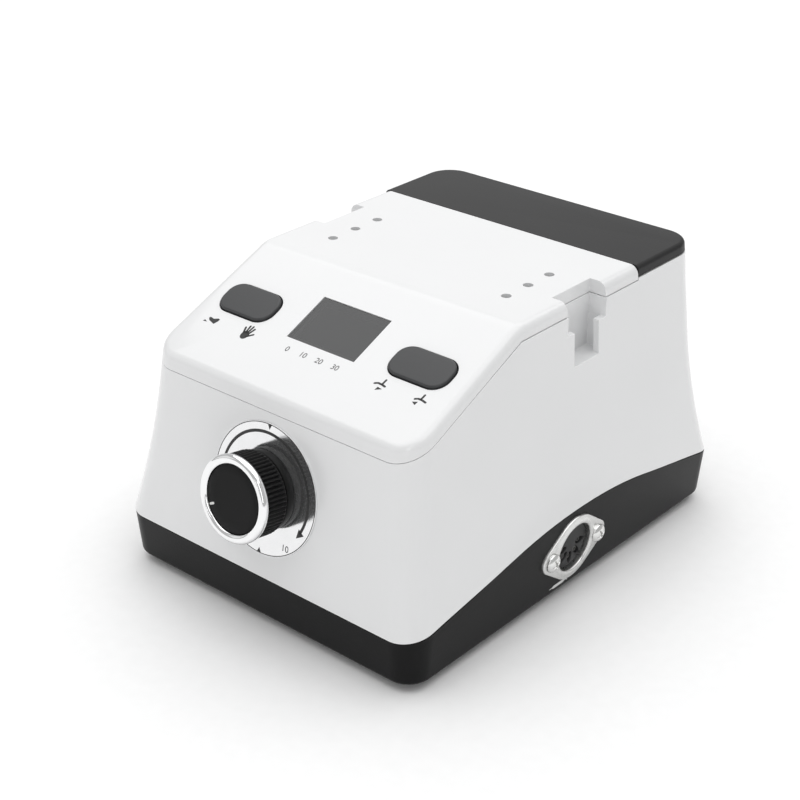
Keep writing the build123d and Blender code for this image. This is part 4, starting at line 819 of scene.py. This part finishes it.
for place, side in (("front", -11.0), ("rear", 11.0)):
    seat = socket.shifted(side * 0.001, 0, 0)
    head = polar_relief(
        f"socket_screw_{place}",
        seat,
        2.85,
        40,
        144,
        cross_head,
        0.9,
        screw_chrome,
        "housing",
    )
    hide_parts("socket_screws")
pressed("socket_nuts", zinc_steel, 0.0002)
handpiece = [
    stroke([(-4.6, 0.0), (-4.0, 0.0), (-3.4, 0.0)], 0.35),
    [(-3.4, -0.35), (-3.4, 0.35), (-2.4, 0.65), (2.6, 0.65), (3.2, 0.4), (3.2, -0.4)]
    + [(2.6, -0.65), (-2.4, -0.65)],
    stroke([(3.2, 0.0), (4.2, -0.1), (4.8, -0.5)], 0.4),
]
handpiece = [np.array(shape) * (0.9, 0.85) + (-4.7, -11.25) for shape in handpiece]
print_on("handpiece_mark", socket, handpiece, 0.00003, white_ink, "housing")

# ------------------------------------------------------------------ feet and screws
# Matt black rubber discs glued in shallow seats, and zinc-plated pan-head screws: four long ones
# from below, and the short ones that hold the covers and the boards.
foot_rubber = moulded("foot_rubber", (0.010, 0.010, 0.010), (0.018, 0.018, 0.018), 0.78, 0.0004)
pressed("rubber_feet", foot_rubber, 0.0003)
for name in ("case_screws", "cover_screws", "panel_screws", "board_screws", "bracket_screws"):
    pressed(name, zinc_steel, 0.00012)
pressed("inlet_screws", zinc_steel, 0.00012)

# ------------------------------------------------------------------ circuit boards
# Green solder resist over copper tracks on glass-fibre board. The tracks lie a little proud and
# show lighter, and the cut edges are plain.
solder_resist = Finish("solder_resist", Coat_Weight=0.3, Coat_Roughness=0.15)
tracks = solder_resist.place.node(
    "ShaderNodeTexBrick",
    {"offset": 0.35, "squash": 0.6, "squash_frequency": 3},
    {"Vector": solder_resist.place, "Scale": 220.0, "Mortar Size": 0.03, "Mortar Smooth": 0.1},
    output=1,
)
resist_shade = solder_resist.mottle(0.004, 3.0)
resist = solder_resist.tint(resist_shade, (0.012, 0.085, 0.035), (0.020, 0.120, 0.052))
solder_resist.set(
    Base_Color=solder_resist.tint(0.7 * tracks, resist, (0.045, 0.20, 0.09)),
    Roughness=0.28 + 0.15 * resist_shade,
)
solder_resist.dent(tracks, 0.00004)
pressed("main_board", solder_resist, 0.0)
pressed("panel_board", solder_resist, 0.0)

# ------------------------------------------------------------------ parts on the boards
# Push switches with round buttons, epoxy transistor on a black anodised heat sink, two capacitors
# in dark blue sleeves, and nylon connectors.
switch_black = moulded("switch_black", (0.012, 0.012, 0.012), (0.020, 0.020, 0.020), 0.5, 0.0003)
epoxy = moulded("epoxy", (0.014, 0.014, 0.014), (0.026, 0.026, 0.026), 0.62, 0.0002)
nylon = moulded("nylon", (0.66, 0.64, 0.57), (0.76, 0.745, 0.68), 0.5, 0.0004)
anodised = plated("anodised", (0.035, 0.035, 0.037), (0.055, 0.055, 0.058), 0.42)
sleeve = Finish("capacitor_sleeve", Coat_Weight=0.4, Coat_Roughness=0.1)
sleeve_pucker = sleeve.mottle(0.0012, 2.0)
sleeve_shade = sleeve.mottle(0.008, 2.0)
sleeve.set(
    Base_Color=sleeve.tint(sleeve_shade, (0.010, 0.025, 0.13), (0.016, 0.036, 0.17)),
    Roughness=0.22 + 0.12 * sleeve_pucker,
)
sleeve.dent(sleeve_pucker, 0.00003)
pressed("key_switches", switch_black, 0.00015)
pressed("power_transistor", epoxy, 0.00015)
pressed("heat_sink", anodised, 0.00015)
pressed("capacitors", sleeve, 0.0003)
pressed("board_connectors", nylon, 0.00015)

# ------------------------------------------------------------------ transformer
# Varnished steel laminations, a nylon bobbin, enamelled copper wire wound in even layers, yellow
# tape over the outer winding, and a zinc-plated bracket.
laminations = Finish("laminations", Metallic=0.7)
sheet_thickness = 0.0005
sheets = laminations.ridges(laminations.axes()[1], sheet_thickness)
rust = laminations.mottle(0.003, 4.0)
laminations.set(
    Base_Color=laminations.tint(rust, (0.10, 0.095, 0.09), (0.17, 0.15, 0.13)),
    Roughness=0.42 + 0.2 * rust,
)
laminations.dent(sheets, 0.00006)
pressed("transformer_core", laminations, 0.0)
pressed("transformer_bobbin", nylon, 0.0002)
copper_wire = Finish("copper_wire", Metallic=0.9)
wire_pitch = 0.00035
turns_of_wire = copper_wire.ridges(copper_wire.axes()[2], wire_pitch)
wire_shade = copper_wire.mottle(0.002, 2.0)
copper_wire.set(
    Base_Color=copper_wire.tint(wire_shade, (0.42, 0.15, 0.05), (0.56, 0.23, 0.09)),
    Roughness=0.24 + 0.2 * (1 - turns_of_wire),
)
copper_wire.dent(turns_of_wire, 0.00012)
pressed("primary_winding", copper_wire, 0.0004)
tape = Finish("yellow_tape", Coat_Weight=0.3, Coat_Roughness=0.12)
tape_width = 0.0067
tape_edges = tape.ridges(tape.axes()[2], tape_width)
tape_shade = tape.mottle(0.003, 3.0)
tape.set(
    Base_Color=tape.tint(tape_shade, (0.56, 0.36, 0.03), (0.70, 0.48, 0.06)),
    Roughness=0.26 + 0.15 * tape_shade,
)
tape.dent(tape_edges, 0.00006)
pressed("secondary_winding", tape, 0.0006)
pressed("transformer_bracket", zinc_steel, 0.0002)

# ------------------------------------------------------------------ fittings of the back wall
# Mains inlet with two nickel pins, glossy rocker switch, screw-cap fuse
# holder with its glass fuse, and the pedal's jack with a hexagon nut.
inlet_black = moulded("inlet_black", (0.008, 0.008, 0.008), (0.014, 0.014, 0.014), 0.46, 0.0004)
pin_nickel = plated("pin_nickel", (0.66, 0.64, 0.58), (0.78, 0.76, 0.70), 0.22)
rocker_gloss = moulded("rocker_gloss", (0.006, 0.006, 0.006), (0.010, 0.010, 0.010), 0.20, 0.0009)
pressed("power_inlet", inlet_black, 0.0003)
pressed("inlet_pins", pin_nickel, 0.0003)
pressed("power_switch_body", inlet_black, 0.0003)
pressed("switch_terminals", pin_nickel, 0.0001)
pressed("power_rocker", rocker_gloss, 0.0003)
pressed("fuse_holder", inlet_black, 0.0002)
pressed("fuse_cap", inlet_black, 0.0003)
pressed("pedal_jack", inlet_black, 0.0002)
pressed("jack_nut", pin_nickel, 0.0002)
fuse_glass = Finish("fuse_glass", Transmission_Weight=0.8)
glass_smear = fuse_glass.mottle(0.002, 3.0)
fuse_glass.set(
    Base_Color=fuse_glass.tint(glass_smear, (0.78, 0.80, 0.80), (0.86, 0.88, 0.88)),
    Roughness=0.04 + 0.08 * glass_smear,
)
pressed("fuse", fuse_glass, 0.0002)
